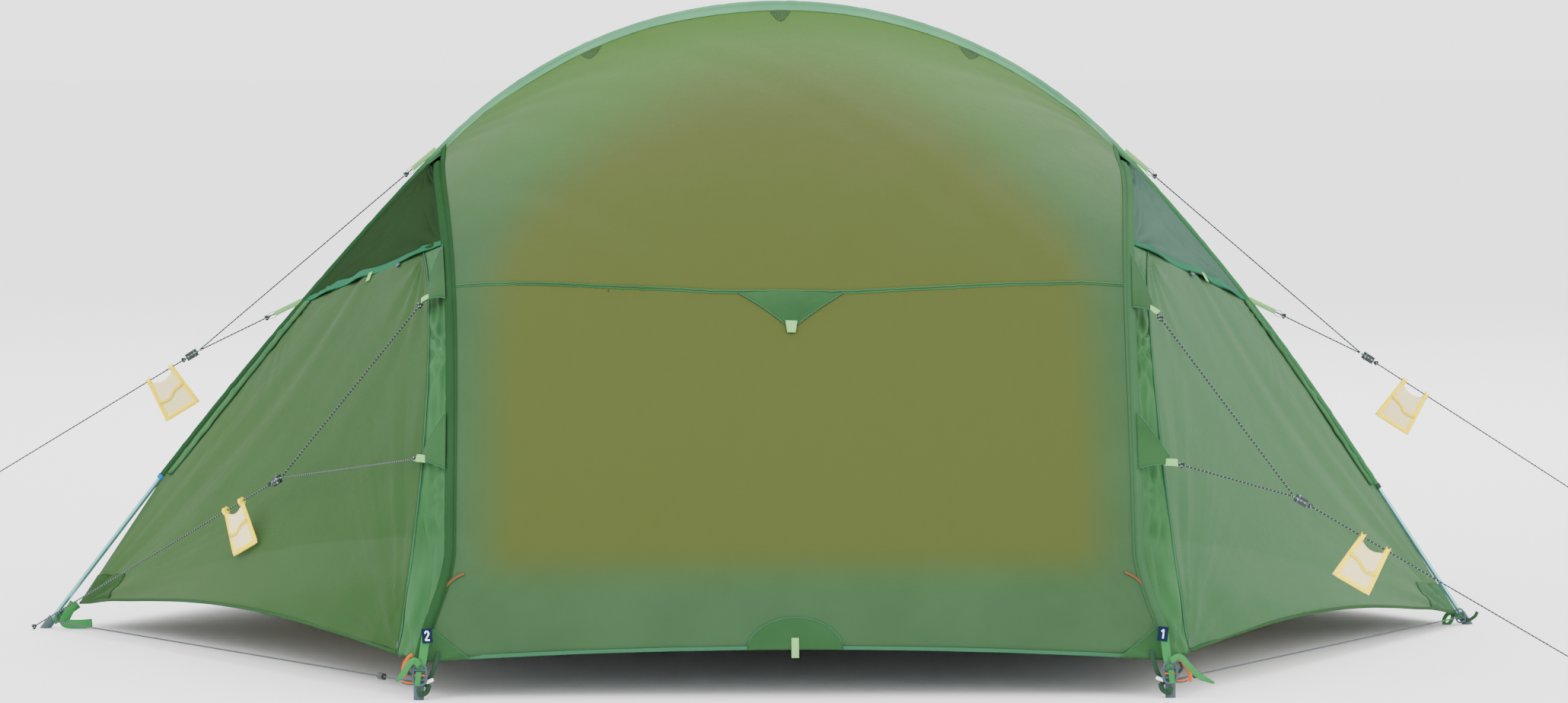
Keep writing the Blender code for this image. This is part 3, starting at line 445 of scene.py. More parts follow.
TAPES = {
    "hem": ("hem_tape", (59, 110, 81), (48, 92, 62), 0.0010),
    "hood_hem": ("hood_hem_tape", (26, 110, 76), (16, 84, 56), 0.0010),
    "edge": ("porch_edge_tape", (46, 84, 46), (37, 70, 38), 0.0010),
    "tab": ("tab_tape", (142, 198, 124), (112, 170, 96)),
    "webbing": ("webbing_tape", (64, 140, 78), (40, 104, 54)),
    "dark_webbing": ("dark_webbing_tape", (52, 82, 60), (30, 52, 40)),
    "orange": ("orange_tape", (250, 110, 20), (210, 80, 10)),
    "red": ("red_tape", (116, 76, 50), (98, 72, 46)),
    "blue": ("blue_tape", (20, 120, 200), (10, 90, 160)),
    # the border tape's last number is the strength of its painted emission
    "border": ("border_tape", (255, 232, 0), (255, 216, 0), 0.0012, 0.55),
    "navy": ("number_tape", (16, 36, 66), (10, 24, 48)),
    "zip": ("zip_tape", (40, 70, 46), (28, 52, 34), 0.0016),
}
M = {finish: cloth_material(*values, **extras) for finish, (*values, extras) in CLOTHS.items()}
M |= {finish: woven_material(*values) for finish, values in TAPES.items()}
M |= {
    # the net's last number is the strength of its painted emission, standing in for light from behind
    "net": net_material("pouch_net", (255, 240, 180), 0.42),
    "cord": cord_material("cord_fibre", (12, 24, 30), (165, 182, 180)),
    "pale_cord": cord_material("pale_cord_fibre", (60, 84, 84), (205, 214, 210)),
    "plastic": plastic_material("buckle_plastic", (40, 62, 68)),
    "dark_plastic": plastic_material("toggle_plastic", (22, 34, 32)),
    "white": plastic_material("number_print", (244, 246, 244), 0.6),
    "pole": alloy_material("pole_alloy", (112, 172, 174)),
    "ring": alloy_material("ring_alloy", (205, 212, 214)),
}


# Lines


def unit(vectors):
    """Vectors of length one."""
    vectors = np.asarray(vectors, float)
    return vectors / np.maximum(np.linalg.norm(vectors, axis=-1, keepdims=True), 1e-12)


def lengths(line):
    """How far along a line each of its points is."""
    steps = np.linalg.norm(np.diff(line, axis=0), axis=1)
    return np.concatenate([[0.0], np.cumsum(steps)])


def point_at(line, length):
    """The points at some lengths along a line."""
    along = lengths(line)
    return np.stack([np.interp(length, along, line[:, axis]) for axis in range(3)], axis=-1)


def length_at(line, axis, value):
    """How far along a line one of its coordinates has a value. The coordinate only grows or only shrinks."""
    sign = 1 if line[-1, axis] > line[0, axis] else -1
    return float(np.interp(sign * value, sign * line[:, axis], lengths(line)))


def piece_of(line, start, end, count):
    """Even points of a line between two lengths along it."""
    return point_at(line, np.linspace(start, end, count))


def straight(first, last, count):
    """Points along a straight line."""
    share = np.linspace(0.0, 1.0, count)[:, None]
    return (1 - share) * np.asarray(first, float) + share * np.asarray(last, float)


def smooth_line(points, count):
    """A Catmull-Rom curve through points: a cubic for each stretch, whose slope at a point is half the gap
    between the points on each side of it.
    """
    points = np.asarray(points, float)
    padded = np.concatenate([[2 * points[0] - points[1]], points, [2 * points[-1] - points[-2]]])
    place = np.linspace(0, len(points) - 1, count)
    index = np.minimum(place.astype(int), len(points) - 2)
    t = (place - index)[:, None]
    a, b, c, d = (padded[index + step] for step in range(4))
    curve = b + 0.5 * t * (c - a + t * (2 * a - 5 * b + 4 * c - d + t * (3 * (b - c) + d - a)))
    return piece_of(curve, 0.0, lengths(curve)[-1], count)


def ridge_height(x):
    """Height of the ridge line: a round crown, a flatter shoulder arc, then straight to the foot."""
    x = np.atleast_1d(np.asarray(x, float))
    height = np.empty_like(x)
    for side in SIDES:
        slope = FOOT_SLOPE[side]
        steep = math.tan(slope)
        fall = math.cos(CROSSING_SLOPE) - math.cos(slope)
        run = math.sin(slope) - math.sin(CROSSING_SLOPE)
        radius = (SHOULDER - steep * (FOOT_REACH[side] - HOOP_X)) / (fall - steep * run)
        here = x * side >= 0
        away = np.abs(x[here])
        turn = np.clip((away - HOOP_X) / radius + math.sin(CROSSING_SLOPE), -1.0, 1.0)
        crown = RIDGE_TOP - CROWN_RADIUS + np.sqrt(np.maximum(CROWN_RADIUS**2 - away**2, 0.0))
        shoulder = SHOULDER - radius * (math.cos(CROSSING_SLOPE) - np.sqrt(1 - turn**2))
        leg = steep * (FOOT_REACH[side] - away)
        height[here] = np.where(away <= HOOP_X, crown, np.where(turn < math.sin(slope), shoulder, leg))
    return height


def hoop_x(height):
    """A hoop's distance from the tent's middle at a height: drawn in by a smooth step, then let out again."""
    share = np.clip((height - HOOP_PULL_START) / (HOOP_TOP - HOOP_PULL_START), 0.0, 1.0)
    ease = np.clip(share * 4, 0.0, 1.0)
    return HOOP_X - HOOP_PULL * ease**2 * (3 - 2 * ease) * (1 - share**6)


def ridge_foot(side):
    """Where the ridge line meets the ground and the unit direction up it."""
    up = np.array([-side * math.cos(FOOT_SLOPE[side]), 0.0, math.sin(FOOT_SLOPE[side])])
    return np.array([side * FOOT_REACH[side], 0.0, 0.0]), up


def leg_outward(side):
    """The unit direction out of the ridge line near its foot, square to it."""
    return np.array([side * math.sin(FOOT_SLOPE[side]), 0.0, math.cos(FOOT_SLOPE[side])])


def make_ridge():
    """The ridge sleeve's middle line, left to right and down to the feet."""
    x = np.linspace(-FOOT_REACH[LEFT], FOOT_REACH[RIGHT], 4 * DENSE)
    return np.stack([x, np.zeros(len(x)), ridge_height(x)], axis=1)


def make_half_hoop():
    """The right hoop's rear half, top to foot: a superellipse in depth and height, drawn in sideways."""
    angle = np.linspace(0.0, math.pi / 2, 4 * DENSE)
    y = HOOP_REACH * np.sin(angle) ** (2 / HOOP_POWER)
    z = HOOP_TOP * np.cos(angle) ** (2 / HOOP_POWER)
    return np.stack([hoop_x(z), y, z], axis=1)


RIDGE = make_ridge()
HALF_HOOP = make_half_hoop()


def half_hoop(side, end):
    """Half of a hoop's middle line, from its top to its front or rear foot."""
    return HALF_HOOP * (side, end, 1)


def ridge_half(side):
    """Half of the ridge line, from its top to its foot."""
    half = RIDGE[RIDGE[:, 0] * side >= 0]
    return half if side == RIGHT else half[::-1]


def across(points, toward):
    """For each point, the unit direction to its partner, square to the line of points."""
    tangent = unit(np.gradient(points, axis=0))
    away = toward - points
    return unit(away - np.sum(away * tangent, axis=1, keepdims=True) * tangent)


def facing_front(direction):
    """A direction or its opposite, whichever looks to the front."""
    return direction * math.copysign(1.0, -direction[1])


def circle_through(first, middle, last):
    """Centre, radius and unit axis of the circle through three points."""
    a, b, c = (Vector(point) for point in (first, middle, last))
    along_b, along_c = b - a, c - a
    axis = along_b.cross(along_c)
    aside = along_c.length_squared * axis.cross(along_b) + along_b.length_squared * along_c.cross(axis)
    centre = a + aside / (2 * axis.length_squared)
    return np.array(centre), (a - centre).length, np.array(axis.normalized())


def arc_line(first, middle, last, count, grow=0.0):
    """Even points of the arc through three points, with its radius made larger by grow."""
    centre, radius, axis = circle_through(first, middle, last)
    start = np.asarray(first, float) - centre
    side = np.cross(axis, start)
    reach = np.asarray(last, float) - centre
    angle = math.atan2(float(reach @ unit(side)), float(reach @ unit(start))) % (2 * math.pi)
    turn = np.linspace(0.0, angle, count)[:, None]
    return centre + (1 + grow / radius) * (np.cos(turn) * start + np.sin(turn) * side)


# Making pieces


def finish_piece(name, mesh, finish, body, replaces=()):
    """Give a mesh its object, material, slot and body; with no body, the piece is left unattached."""
    mesh.materials.append(M[finish])
    obj = bpy.data.objects.new(name, mesh)
    bpy.context.scene.collection.objects.link(obj)
    if body:
        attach(obj, body)
    if replaces:
        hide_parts(*replaces)
    return obj


def mesh_of(name, points, faces, uv):
    """A smooth mesh from points, lists of corners and a UV map in metres."""
    mesh = bpy.data.meshes.new(name)
    mesh.from_pydata(points.reshape(-1, 3).tolist(), [], faces)
    layer = mesh.uv_layers.new(name="metres")
    corners = np.empty(len(mesh.loops), np.int64)
    mesh.loops.foreach_get("vertex_index", corners)
    layer.data.foreach_set("uv", uv[corners].astype(np.float32).ravel())
    mesh.shade_smooth()
    return mesh


def grid_faces(rows, columns, close_rows=False, close_columns=False):
    """The four-cornered faces of a grid of points, wrapped round where it closes."""
    first = np.arange(rows if close_rows else rows - 1)[:, None]
    left = np.arange(columns if close_columns else columns - 1)[None, :]
    second, right = (first + 1) % rows, (left + 1) % columns
    corners = [first * columns + left, first * columns + right]
    corners += [second * columns + right, second * columns + left]
    return np.stack([corner.ravel() for corner in corners], axis=1)


def grid_uv(side, down):
    """The UV map of a grid from its lengths across and down."""
    return np.stack(np.broadcast_arrays(side[None, :], down[:, None]), axis=-1).reshape(-1, 2)


def thicken(obj, thickness=CLOTH):
    """Give a surface its thickness, half to each side."""
    shell = obj.modifiers.new("thickness", "SOLIDIFY")
    shell.thickness = thickness
    shell.offset = 0.0


def sheet_piece(name, points, finish, outward, body="tent", thickness=CLOTH, replaces=()):
    """A sheet of cloth with a thickness, from a grid of points. Outward is a direction its face looks."""
    faces = grid_faces(*points.shape[:2])
    high, wide = points.shape[0] // 2, points.shape[1] // 2
    down = points[high + 1, wide] - points[high, wide]
    side = points[high, wide + 1] - points[high, wide]
    if np.cross(side, down) @ np.asarray(outward, float) < 0:
        faces = faces[:, ::-1]
    mesh = mesh_of(name, points, faces.tolist(), grid_uv(lengths(points[high]), lengths(points[:, wide])))
    obj = finish_piece(name, mesh, finish, body, replaces)
    thicken(obj, thickness)
    return obj


def panel_piece(name, points, finish, outward, node):
    """A whole panel of cloth. Its longest row and longest column are measured as its flat size, for an area
    that is worked out and not kept.
    """
    piece = sheet_piece(f"{name}_cloth", points, finish, outward, replaces=[node])
    width = np.linalg.norm(np.diff(points, axis=1), axis=-1).sum(axis=1).max()
    length = np.linalg.norm(np.diff(points, axis=0), axis=-1).sum(axis=0).max()
    declare_sheet(piece, (float(width), float(length)))
    return piece


SMALLEST_AREA = 0.31  # the least share of its flat width times length that a sheet may be declared with


def declare_sheet(piece, flat):
    """Work out a sheet's mesh area, held to at least SMALLEST_AREA of its flat width times length and at most
    all of it; the area is not kept.
    """
    areas = np.empty(len(piece.data.polygons))
    piece.data.polygons.foreach_get("area", areas)
    whole = flat[0] * flat[1]
    area = float(np.clip(areas.sum(), SMALLEST_AREA * whole, whole))


def frames(path, up, closed):
    """Side and up directions along a path, both square to it. Up is one direction or one for each point."""
    steps = np.roll(path, -1, axis=0) - np.roll(path, 1, axis=0) if closed else np.gradient(path, axis=0)
    tangent = unit(steps)
    side = unit(np.cross(tangent, np.broadcast_to(np.asarray(up, float), path.shape)))
    return side, np.cross(side, tangent)


def swept(name, path, profile, finish, body="tent", up=UPRIGHT, closed=False, scale=1.0, replaces=()):
    """A closed profile carried along a path: each point is the path plus the profile's two parts along side
    and up. Scale makes the profile larger or smaller at each point of the path. An open path gets flat ends.
    """
    path = np.asarray(path, float)
    side, above = frames(path, up, closed)
    local = profile[None] * np.broadcast_to(scale, len(path))[:, None, None]
    rings = path[:, None] + local[..., :1] * side[:, None] + local[..., 1:] * above[:, None]
    count, around = rings.shape[:2]
    faces = grid_faces(count, around, closed, True).tolist()
    if not closed:
        faces.append(list(range(around - 1, -1, -1)))
        faces.append(list(range((count - 1) * around, count * around)))
    turn = lengths(np.pad(profile, ((0, 0), (0, 1))))
    mesh = mesh_of(name, rings, faces, grid_uv(turn, lengths(path)))
    return finish_piece(name, outward_mesh(mesh), finish, body, replaces)


def outward_mesh(mesh):
    """The mesh with all faces outwards, judged by its signed volume."""
    mesh.calc_loop_triangles()
    points = np.empty(len(mesh.vertices) * 3)
    mesh.vertices.foreach_get("co", points)
    corners = np.empty(len(mesh.loop_triangles) * 3, np.int64)
    mesh.loop_triangles.foreach_get("vertices", corners)
    a, b, c = points.reshape(-1, 3)[corners.reshape(-1, 3)].transpose(1, 0, 2)
    if np.sum(a * np.cross(b, c)) < 0:
        mesh.flip_normals()
    return mesh


def round_profile(radius, count=16):
    """A circle."""
    angle = np.linspace(0.0, 2 * math.pi, count, endpoint=False)
    return radius * np.stack([np.cos(angle), np.sin(angle)], axis=1)


def tape_profile(width, thickness):
    """A flat strip's section with rounded edges: two half circles joined by straight sides."""
    half = width / 2 - thickness / 2
    angle = np.linspace(-math.pi / 2, math.pi / 2, 4)
    right = np.stack([half + thickness / 2 * np.cos(angle), thickness / 2 * np.sin(angle)], axis=1)
    return np.concatenate([right, -right])


BAND_RISE = 0.0014
BAND_THICKNESS = 0.0011


def band(name, line, toward, normal, width, finish, rise=BAND_RISE):
    """A strip of cloth or tape beside a line: it runs towards other points, raised along the normals."""
    share = np.linspace(0.0, width, 5)[None, :, None]
    grid = line[:, None] + share * unit(toward - line)[:, None] + rise * normal[:, None]
    return sheet_piece(name, grid, finish, normal[len(line) // 2], thickness=BAND_THICKNESS)


def tape(
    name, points, normal, width, finish, thickness=0.0014, body="tent", count=32, scale=1.0, replaces=(),
):
    """A strap that lies along a smooth curve through points, its flat side facing the normal."""
    path = smooth_line(points, count)
    profile = tape_profile(width, thickness)
    return swept(name, path, profile, finish, body, up=normal, scale=scale, replaces=replaces)


def piping(name, line, radius, up, finish="hem", body="tent"):
    """A thin round edging along a line."""
    return swept(name, line, round_profile(radius, 8), finish, body, up=up)


def loop(name, centre, along, beside, half_sizes, profile, finish, body="tent", power=2.0):
    """A closed ring: a superellipse with its two half sizes along two directions."""
    angle = np.linspace(0.0, 2 * math.pi, 41)[:-1]
    first, second = (np.sign(turn) * np.abs(turn) ** (2 / power) for turn in (np.cos(angle), np.sin(angle)))
    along, beside = unit(along), unit(beside)
    half_length, half_width = half_sizes
    path = np.asarray(centre) + half_length * first[:, None] * along + half_width * second[:, None] * beside
    return swept(name, path, profile, finish, body, up=np.cross(along, beside), closed=True)


BAR_POINTS = 17
ANY_DIRECTION = (0.31, 0.48, 0.82)  # a direction along which no bar lies


def bar(name, middle, reach, radius, finish):
    """A round bar, as far to each side of its middle as reach; its ends are rounded by an eighth power."""
    share = np.linspace(-1.0, 1.0, BAR_POINTS)
    path = straight(middle - reach, middle + reach, BAR_POINTS)
    up = unit(np.cross(path[-1] - path[0], ANY_DIRECTION))
    return swept(name, path, round_profile(radius, 14), finish, up=up, scale=np.sqrt(1 - 0.96 * share**8))


# The camera, at the photograph's place, and the studio
LENS_PIXELS = 7556
IMAGE_WIDTH = 2060
SENSOR_WIDTH = 36.0
CAMERA_PLACE = (-0.26, -11.0, 1.24)
CAMERA_PITCH = math.radians(90 - 3.70)
CAMERA_YAW = math.radians(-1.395)
FLOOR_REACH = 60.0
SKY_STRENGTH = 2.6
LIGHT_AIM = Vector((0.0, 0.0, 0.4))
LIGHTS = {  # place, size in metres and power in watts
    "key": ((-4.0, -6.0, 6.5), 4.0, 420),
    "fill": ((6.0, -5.0, 4.0), 5.0, 200),
    "back": ((1.0, 6.0, 6.0), 5.0, 420),
}


def make_camera():
    """The camera, level across, turned a little right and down."""
    data = bpy.data.cameras.new("camera")
    data.sensor_width = SENSOR_WIDTH
    data.lens = LENS_PIXELS / IMAGE_WIDTH * SENSOR_WIDTH
    camera = bpy.data.objects.new("camera", data)
    camera.location = CAMERA_PLACE
    camera.rotation_euler = (CAMERA_PITCH, 0.0, CAMERA_YAW)
    bpy.context.scene.collection.objects.link(camera)
    bpy.context.scene.camera = camera


def make_studio():
    """A pale floor, an even pale sky and three square soft lights that look at the tent's middle."""
    corners = FLOOR_REACH * np.array([[-1, -1, 0], [1, -1, 0], [1, 1, 0], [-1, 1, 0]], float)
    mesh = bpy.data.meshes.new("floor")
    mesh.from_pydata(corners.tolist(), [], [[0, 1, 2, 3]])
    mesh.materials.append(floor_material())
    ground = bpy.data.objects.new("floor", mesh)
    bpy.context.scene.collection.objects.link(ground)
    world = bpy.data.worlds.new("sky")
    world.use_nodes = True
    background = world.node_tree.nodes["Background"]
    background.inputs["Color"].default_value = (1.0, 1.0, 1.0, 1.0)
    background.inputs["Strength"].default_value = SKY_STRENGTH
    bpy.context.scene.world = world
    for name, (place, size, power) in LIGHTS.items():
        data = bpy.data.lights.new(name, "AREA")
        data.size = size
        data.energy = power
        lamp = bpy.data.objects.new(name, data)
        lamp.location = place
        lamp.rotation_euler = (LIGHT_AIM - Vector(place)).to_track_quat("-Z", "Y").to_euler()
        bpy.context.scene.collection.objects.link(lamp)


make_camera()
make_studio()


# Outer tent: middle panels


def hash_wave(place, wave, seed):
    """A smooth uneven wave: a sum of five sines with spread lengths and fixed phases."""
    total = 0.0
    for step in range(5):
        stretch = 1 + 0.37 * step
        total = total + np.sin(place * math.tau / wave * stretch + seed * 1.7 + step * 2.3) / stretch
    return total / 2


def column(first, last, count):
    """Even numbers as a column."""
    return np.linspace(first, last, count)[:, None]


def row(last, count):
    """Even numbers as a row, from minus the last to the last."""
    return np.linspace(-last, last, count)[None, :]


SLOPE_STEP = 0.002  # how far to each side of a point its slope is measured


def hoop_outward(end, share):
    """The outward direction of a hoop at shares of the way down, in its own upright plane."""
    half = panel_hoop(end)
    total = lengths(half)[-1]
    after = point_at(half, np.minimum(share * total + SLOPE_STEP, total))
    step = after - point_at(half, share * total - SLOPE_STEP)
    return unit(np.stack([np.zeros_like(share), -step[..., 2] * end, np.abs(step[..., 1])], axis=-1))


def panel_hoop(end):
    """The hoop beside a middle panel, from the ridge down to the hem."""
    line = half_hoop(RIGHT, end)
    return line[: int(np.searchsorted(-line[:, 2], -END_HEM)) + 1]


PEAK_SHARE = 0.09  # the share of the way down over which the panel comes from the ridge to the hoops' line
RIDGE_STANDOFF = 0.6  # how far the panel leaves the ridge line, in radii of its sleeve


def panel_at(end, place, share, rise=0.0):
    """Points of a middle panel, raised off it by rise.

    At a share of the way from the ridge to the hem, the panel runs from hoop to hoop, place -1 to 1. Its
    height is the hoop's, plus the crown's rise over the hoops times (1 - share) to the power CROWN_FADE. Its
    depth is the hoop's, drawn in half way between the hoops. Folds spread from its corners and its seam.
    """
    place, share = np.broadcast_arrays(np.asarray(place, float), np.asarray(share, float))
    half = panel_hoop(end)
    total = lengths(half)[-1]
    hoop = point_at(half, share * total)
    crossing = float(ridge_height(HOOP_X)[0])
    crown = (ridge_height((place * HOOP_X).ravel()) - crossing).reshape(place.shape)
    peak = (crossing - HOOP_TOP) * np.clip(1 - share / PEAK_SHARE, 0.0, 1.0) ** 2
    middle = 1 - place**2
    arch = END_HEM_ARCH * middle * share**6
    points = np.empty((*place.shape, 3))
    points[..., 0] = place * hoop[..., 0]
    points[..., 1] = hoop[..., 1] * (1 - END_HOLLOW * middle * share * (1 - share) * 4)
    points[..., 1] += end * RIDGE_SLEEVE_RADIUS * RIDGE_STANDOFF * (1 - share)
    points[..., 2] = hoop[..., 2] + crown * (1 - share) ** CROWN_FADE + peak + arch
    lift = rise + panel_folds(end, place, share, total)
    return points + lift[..., None] * hoop_outward(end, share)


PUCKER_X = 0.34  # where the seam gathers the cloth
PUCKER_SPREAD = 0.050
PUCKER_REACH = 0.024
PUCKER_WAVE = 0.0125
PUCKER_HEIGHT = 0.0010
PULL_START = 0.05  # a fold grows over this distance from the corner that pulls it
CORNER_FOLDS = 22
TOP_PULL = (0.30, 0.0018)  # reach and height of the folds from a corner
HEM_PULL = (0.24, 0.0022)


def panel_folds(end, place, share, total):
    """How far folds lift a middle panel: pulls from each corner, puckers under the seam, slack at the hem."""
    x, s = place * HOOP_X, share * total
    free = np.clip((1 - np.abs(place)) * 9, 0, 1)
    lift = np.zeros_like(x)
    pulls = ((0.0, TOP_PULL), (total, HEM_PULL))
    corners = [(side * HOOP_X, down, *pull) for down, pull in pulls for side in SIDES]
    for index, (corner_x, corner_s, reach, height) in enumerate(corners):
        away = np.hypot(x - corner_x, s - corner_s)
        turn = np.arctan2(s - corner_s, x - corner_x) * CORNER_FOLDS + index * end
        lift += height * np.exp(-away / reach) * np.cos(turn) * np.clip(away / PULL_START, 0, 1)
    under = s - seam_share(place) * total
    below = np.clip(under / 0.008, 0, 1) * np.exp(-np.maximum(under, 0) / PUCKER_REACH)
    gathered = np.exp(-(((x + PUCKER_X) / PUCKER_SPREAD) ** 2)) * below
    lift += PUCKER_HEIGHT * gathered * np.cos((x + PUCKER_X + 0.25 * under) * math.tau / PUCKER_WAVE)
    lift += 0.0008 * np.exp(-np.abs(under) / 0.018) * hash_wave(x, 0.045, 1.0 + end)
    lift += 0.0012 * np.exp(-(total - s) / 0.06) * hash_wave(x, 0.16, 2.0 + end)
    slack = 0.0012 * hash_wave(x * 0.8 + s * 0.6, 0.34, 3.0)
    lift += slack + 0.0008 * hash_wave(x * 0.7 - s * 0.7, 0.21, 4.0)
    return lift * free


def seam_share(place):
    """How far down a middle panel the level seam is, as a share of the way from the ridge to the hem."""
    half = panel_hoop(FRONT)
    return length_at(half, 2, SEAM_HEIGHT) / lengths(half)[-1] + SEAM_DIP * (1 - place**2)


PANEL_ROWS = 73
PANEL_WIDTH = 0.993  # how near to the hoops' lines the cloth comes
SEAM_STRIPS = ((0.0075, "strip", 0.0009), (0.0016, "zip", 0.0015))  # width, finish and rise
SEAM_WIDTH = 0.99
HEM_PLACE = 0.985
HEM_WIDTH = 0.007
HEM_RISE = 0.0010
STRIP_THICKNESS = 0.0008


def make_middle_panels():
    """The upper and lower panels, their felled seam and their hem."""
    close = np.linspace(-0.1, 0.1, 97) - PUCKER_X
    place = np.union1d(np.linspace(-1.0, 1.0, 257), close / HOOP_X)[None, :]
    seam = seam_share(place)
    for end in ENDS:
        name = END_NAME[end]
        look = (0.0, end, 0.4)
        total = lengths(panel_hoop(end))[-1]
        upper = column(0.003, 1.0, PANEL_ROWS) * seam
        lower = seam + column(0.0, 1.0, PANEL_ROWS) ** 1.6 * (1 - seam)
        for half, share in (("upper", upper), ("lower", lower)):
            points = panel_at(end, place * PANEL_WIDTH, share)
            node = f"fly_{name}_{half}"
            panel_piece(node, points, "panel", look, node)
        for index, (width, finish, rise) in enumerate(SEAM_STRIPS):
            beside = column(-width / 2, width / 2, 5) / total
            strip = panel_at(end, place * SEAM_WIDTH, seam + beside, rise)
            sheet_piece(f"seam_{name}_{index}", strip, finish, look, thickness=STRIP_THICKNESS)
        hem = panel_at(end, place * HEM_PLACE, column(1 - HEM_WIDTH / total, 1.0, 6), HEM_RISE)
        sheet_piece(f"hem_{name}", hem, "hem", look, thickness=BAND_THICKNESS)
        make_panel_trim(end, total, look)


PATCH_HALF_WIDTH = 0.083
PATCH_HEIGHT = 0.059
PATCH_RISE = 0.0022
CORNER_WIDTH = 0.078
CORNER_HEIGHT = 0.058
HANGERS = (-0.36, 0.0, 0.36)
HANGER_SIZE = (0.020, 0.034)
HANGER_START = 0.022
HEM_TAB_HALF_WIDTH = 0.0065
HEM_TAB_TOP = 0.022
HEM_TAB_FALL = 0.014
HEM_TAB_RISE = 0.0040
HEM_TAB_THICKNESS = 0.0016
EDGE_RADIUS = {"patch": 0.0010, "corner": 0.0009}
RIDGE_BAND_DEPTH = 0.020
RED_STRIP = [(0.643, 0.136), (0.630, 0.150), (0.614, 0.158)]


def make_panel_trim(end, total, look):
    """Patches, bands, painted shade where the inner tent hangs, and the vent flap on one middle panel. Total
    is the hoop's length beside the panel.
    """
    name = END_NAME[end]
    places = row(1.0, 33)

    def lying(x, up, rise=PATCH_RISE):
        """Points on the panel by their distance from its middle and their height above the hem."""
        return panel_at(end, x / hoop_x(END_HEM), 1 - up / total, rise)

    half_round = np.sqrt(1 - (0.995 * places) ** 2)
    patch = lying(PATCH_HALF_WIDTH * places, column(1.0, 0.0, 17) * half_round * PATCH_HEIGHT)
    sheet_piece(f"hem_patch_{name}", patch, "patch", look)
    piping(f"hem_patch_edge_{name}", patch[0], EDGE_RADIUS["patch"], look)
    tab = lying(row(HEM_TAB_HALF_WIDTH, 5), column(HEM_TAB_TOP, 0.0, 9), HEM_TAB_RISE)
    fall = tab[-1:] - column(0.0, HEM_TAB_FALL, 6)[:, :, None] * UPRIGHT
    sheet_piece(f"hem_tab_{name}", np.concatenate([tab, fall[1:]]), "tab", look, thickness=HEM_TAB_THICKNESS)
    for side in SIDES:
        label = f"{name}_{SIDE_NAME[side]}"
        up = column(1.0, 0.0, 13)
        corner = hoop_x(END_HEM) * HEM_PLACE - CORNER_WIDTH * (1 - up * 0.98) * (1 + places[:, ::2]) / 2
        patch = lying(side * corner, up * CORNER_HEIGHT)
        sheet_piece(f"corner_patch_{label}", patch, "patch", look)
        piping(f"corner_patch_edge_{label}", patch[:, -1], EDGE_RADIUS["corner"], look)
        strip = panel_at(end, side * np.linspace(0.980, 0.994, 5)[None, :], column(0.0, 0.995, 121), 0.0016)
        sheet_piece(f"hoop_band_{label}", strip, "hoop", look, thickness=STRIP_THICKNESS)
    ridge_band = panel_at(end, places * SEAM_WIDTH, column(0.0, RIDGE_BAND_DEPTH, 6) / total, BAND_RISE)
    sheet_piece(f"ridge_band_{name}", ridge_band, "sleeve", look, thickness=STRIP_THICKNESS)
    # Faint darker spots under the ridge: painted shade where the inner tent hangs behind the cloth
    for index, x in enumerate(HANGERS):
        down = HANGER_START + column(0.0, 1.0, 9) * (1 - np.abs(places) ** 1.6) * HANGER_SIZE[1]
        spot = panel_at(end, (x + places * HANGER_SIZE[0]) / HOOP_X, down / total, HEM_RISE)
        sheet_piece(f"hanger_patch_{name}_{index}", spot, "shade", look)
    for side in SIDES:
        strip = [lying(np.array(side * x), np.array(up)) for x, up in RED_STRIP]
        tape(f"inner_hook_strip_{name}_{SIDE_NAME[side]}", strip, look, 0.0045, "red")
    make_vent_flap(end, total, look)


FLAP_HALF_WIDTH = 0.100
FLAP_CLOTH_DEPTH = 0.064
FLAP_TAB = 0.022
FLAP_TAB_OVERLAP = 0.004
FLAP_RISE = 0.0022
FLAP_BELLY = 0.0050
FLAP_WAVE = 0.0016
FLAP_PIPING = 0.0012
FLAP_POINT = 0.14  # width at its point, as a share of its width at the seam
FLAP_STILL = 0.002  # a depth under the seam at which points are worked out and not used
FLAP_BEND = 0.022  # another depth under the seam, used the same way


def make_vent_flap(end, total, look):
    """The triangle under the level seam, with piped edges and a tab at its point."""
    name = f"vent_flap_{END_NAME[end]}"
    places, down = row(1.0, 25), column(0.0, 1.0, 17)
    half = FLAP_HALF_WIDTH * ((1 - FLAP_POINT) * (1 - down) ** 1.08 + FLAP_POINT)
    start = seam_share(np.zeros(1))[0]

    def lying(x, depth, rise):
        """Points on the panel by their distance from the middle and their depth under the seam."""
        return panel_at(end, x / HOOP_X, start + depth / total, rise)

    slack = np.sin(math.pi * down) * (1 - places**2)
    wave = FLAP_WAVE * hash_wave(places + 0.6 * down, 0.55, 6.0) * slack
    belly = FLAP_RISE + FLAP_BELLY * slack + wave
    flap = lying(half * places, down * FLAP_CLOTH_DEPTH, belly)
    cloth = sheet_piece(f"{name}_cloth", flap, "vent", look, None, replaces=[name])
    rim = np.concatenate([flap[:, 0], flap[::-1, -1]])
    edge = piping(f"{name}_piping", rim, FLAP_PIPING, look, body=None)
    for piece in (cloth, edge):
        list(lying(np.zeros(2), np.array([FLAP_STILL, FLAP_BEND]), 0.0))
        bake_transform(piece)
    drop = column(0.0, 1.0, 8)
    width = row(1.0, 5) * (0.0115 - 0.0035 * drop)
    tab = lying(width, FLAP_CLOTH_DEPTH - FLAP_TAB_OVERLAP + drop * FLAP_TAB, 0.0042)
    sheet_piece(f"{name}_tab", tab, "tab", look, name, 0.0018)


make_middle_panels()


# Outer tent: porches


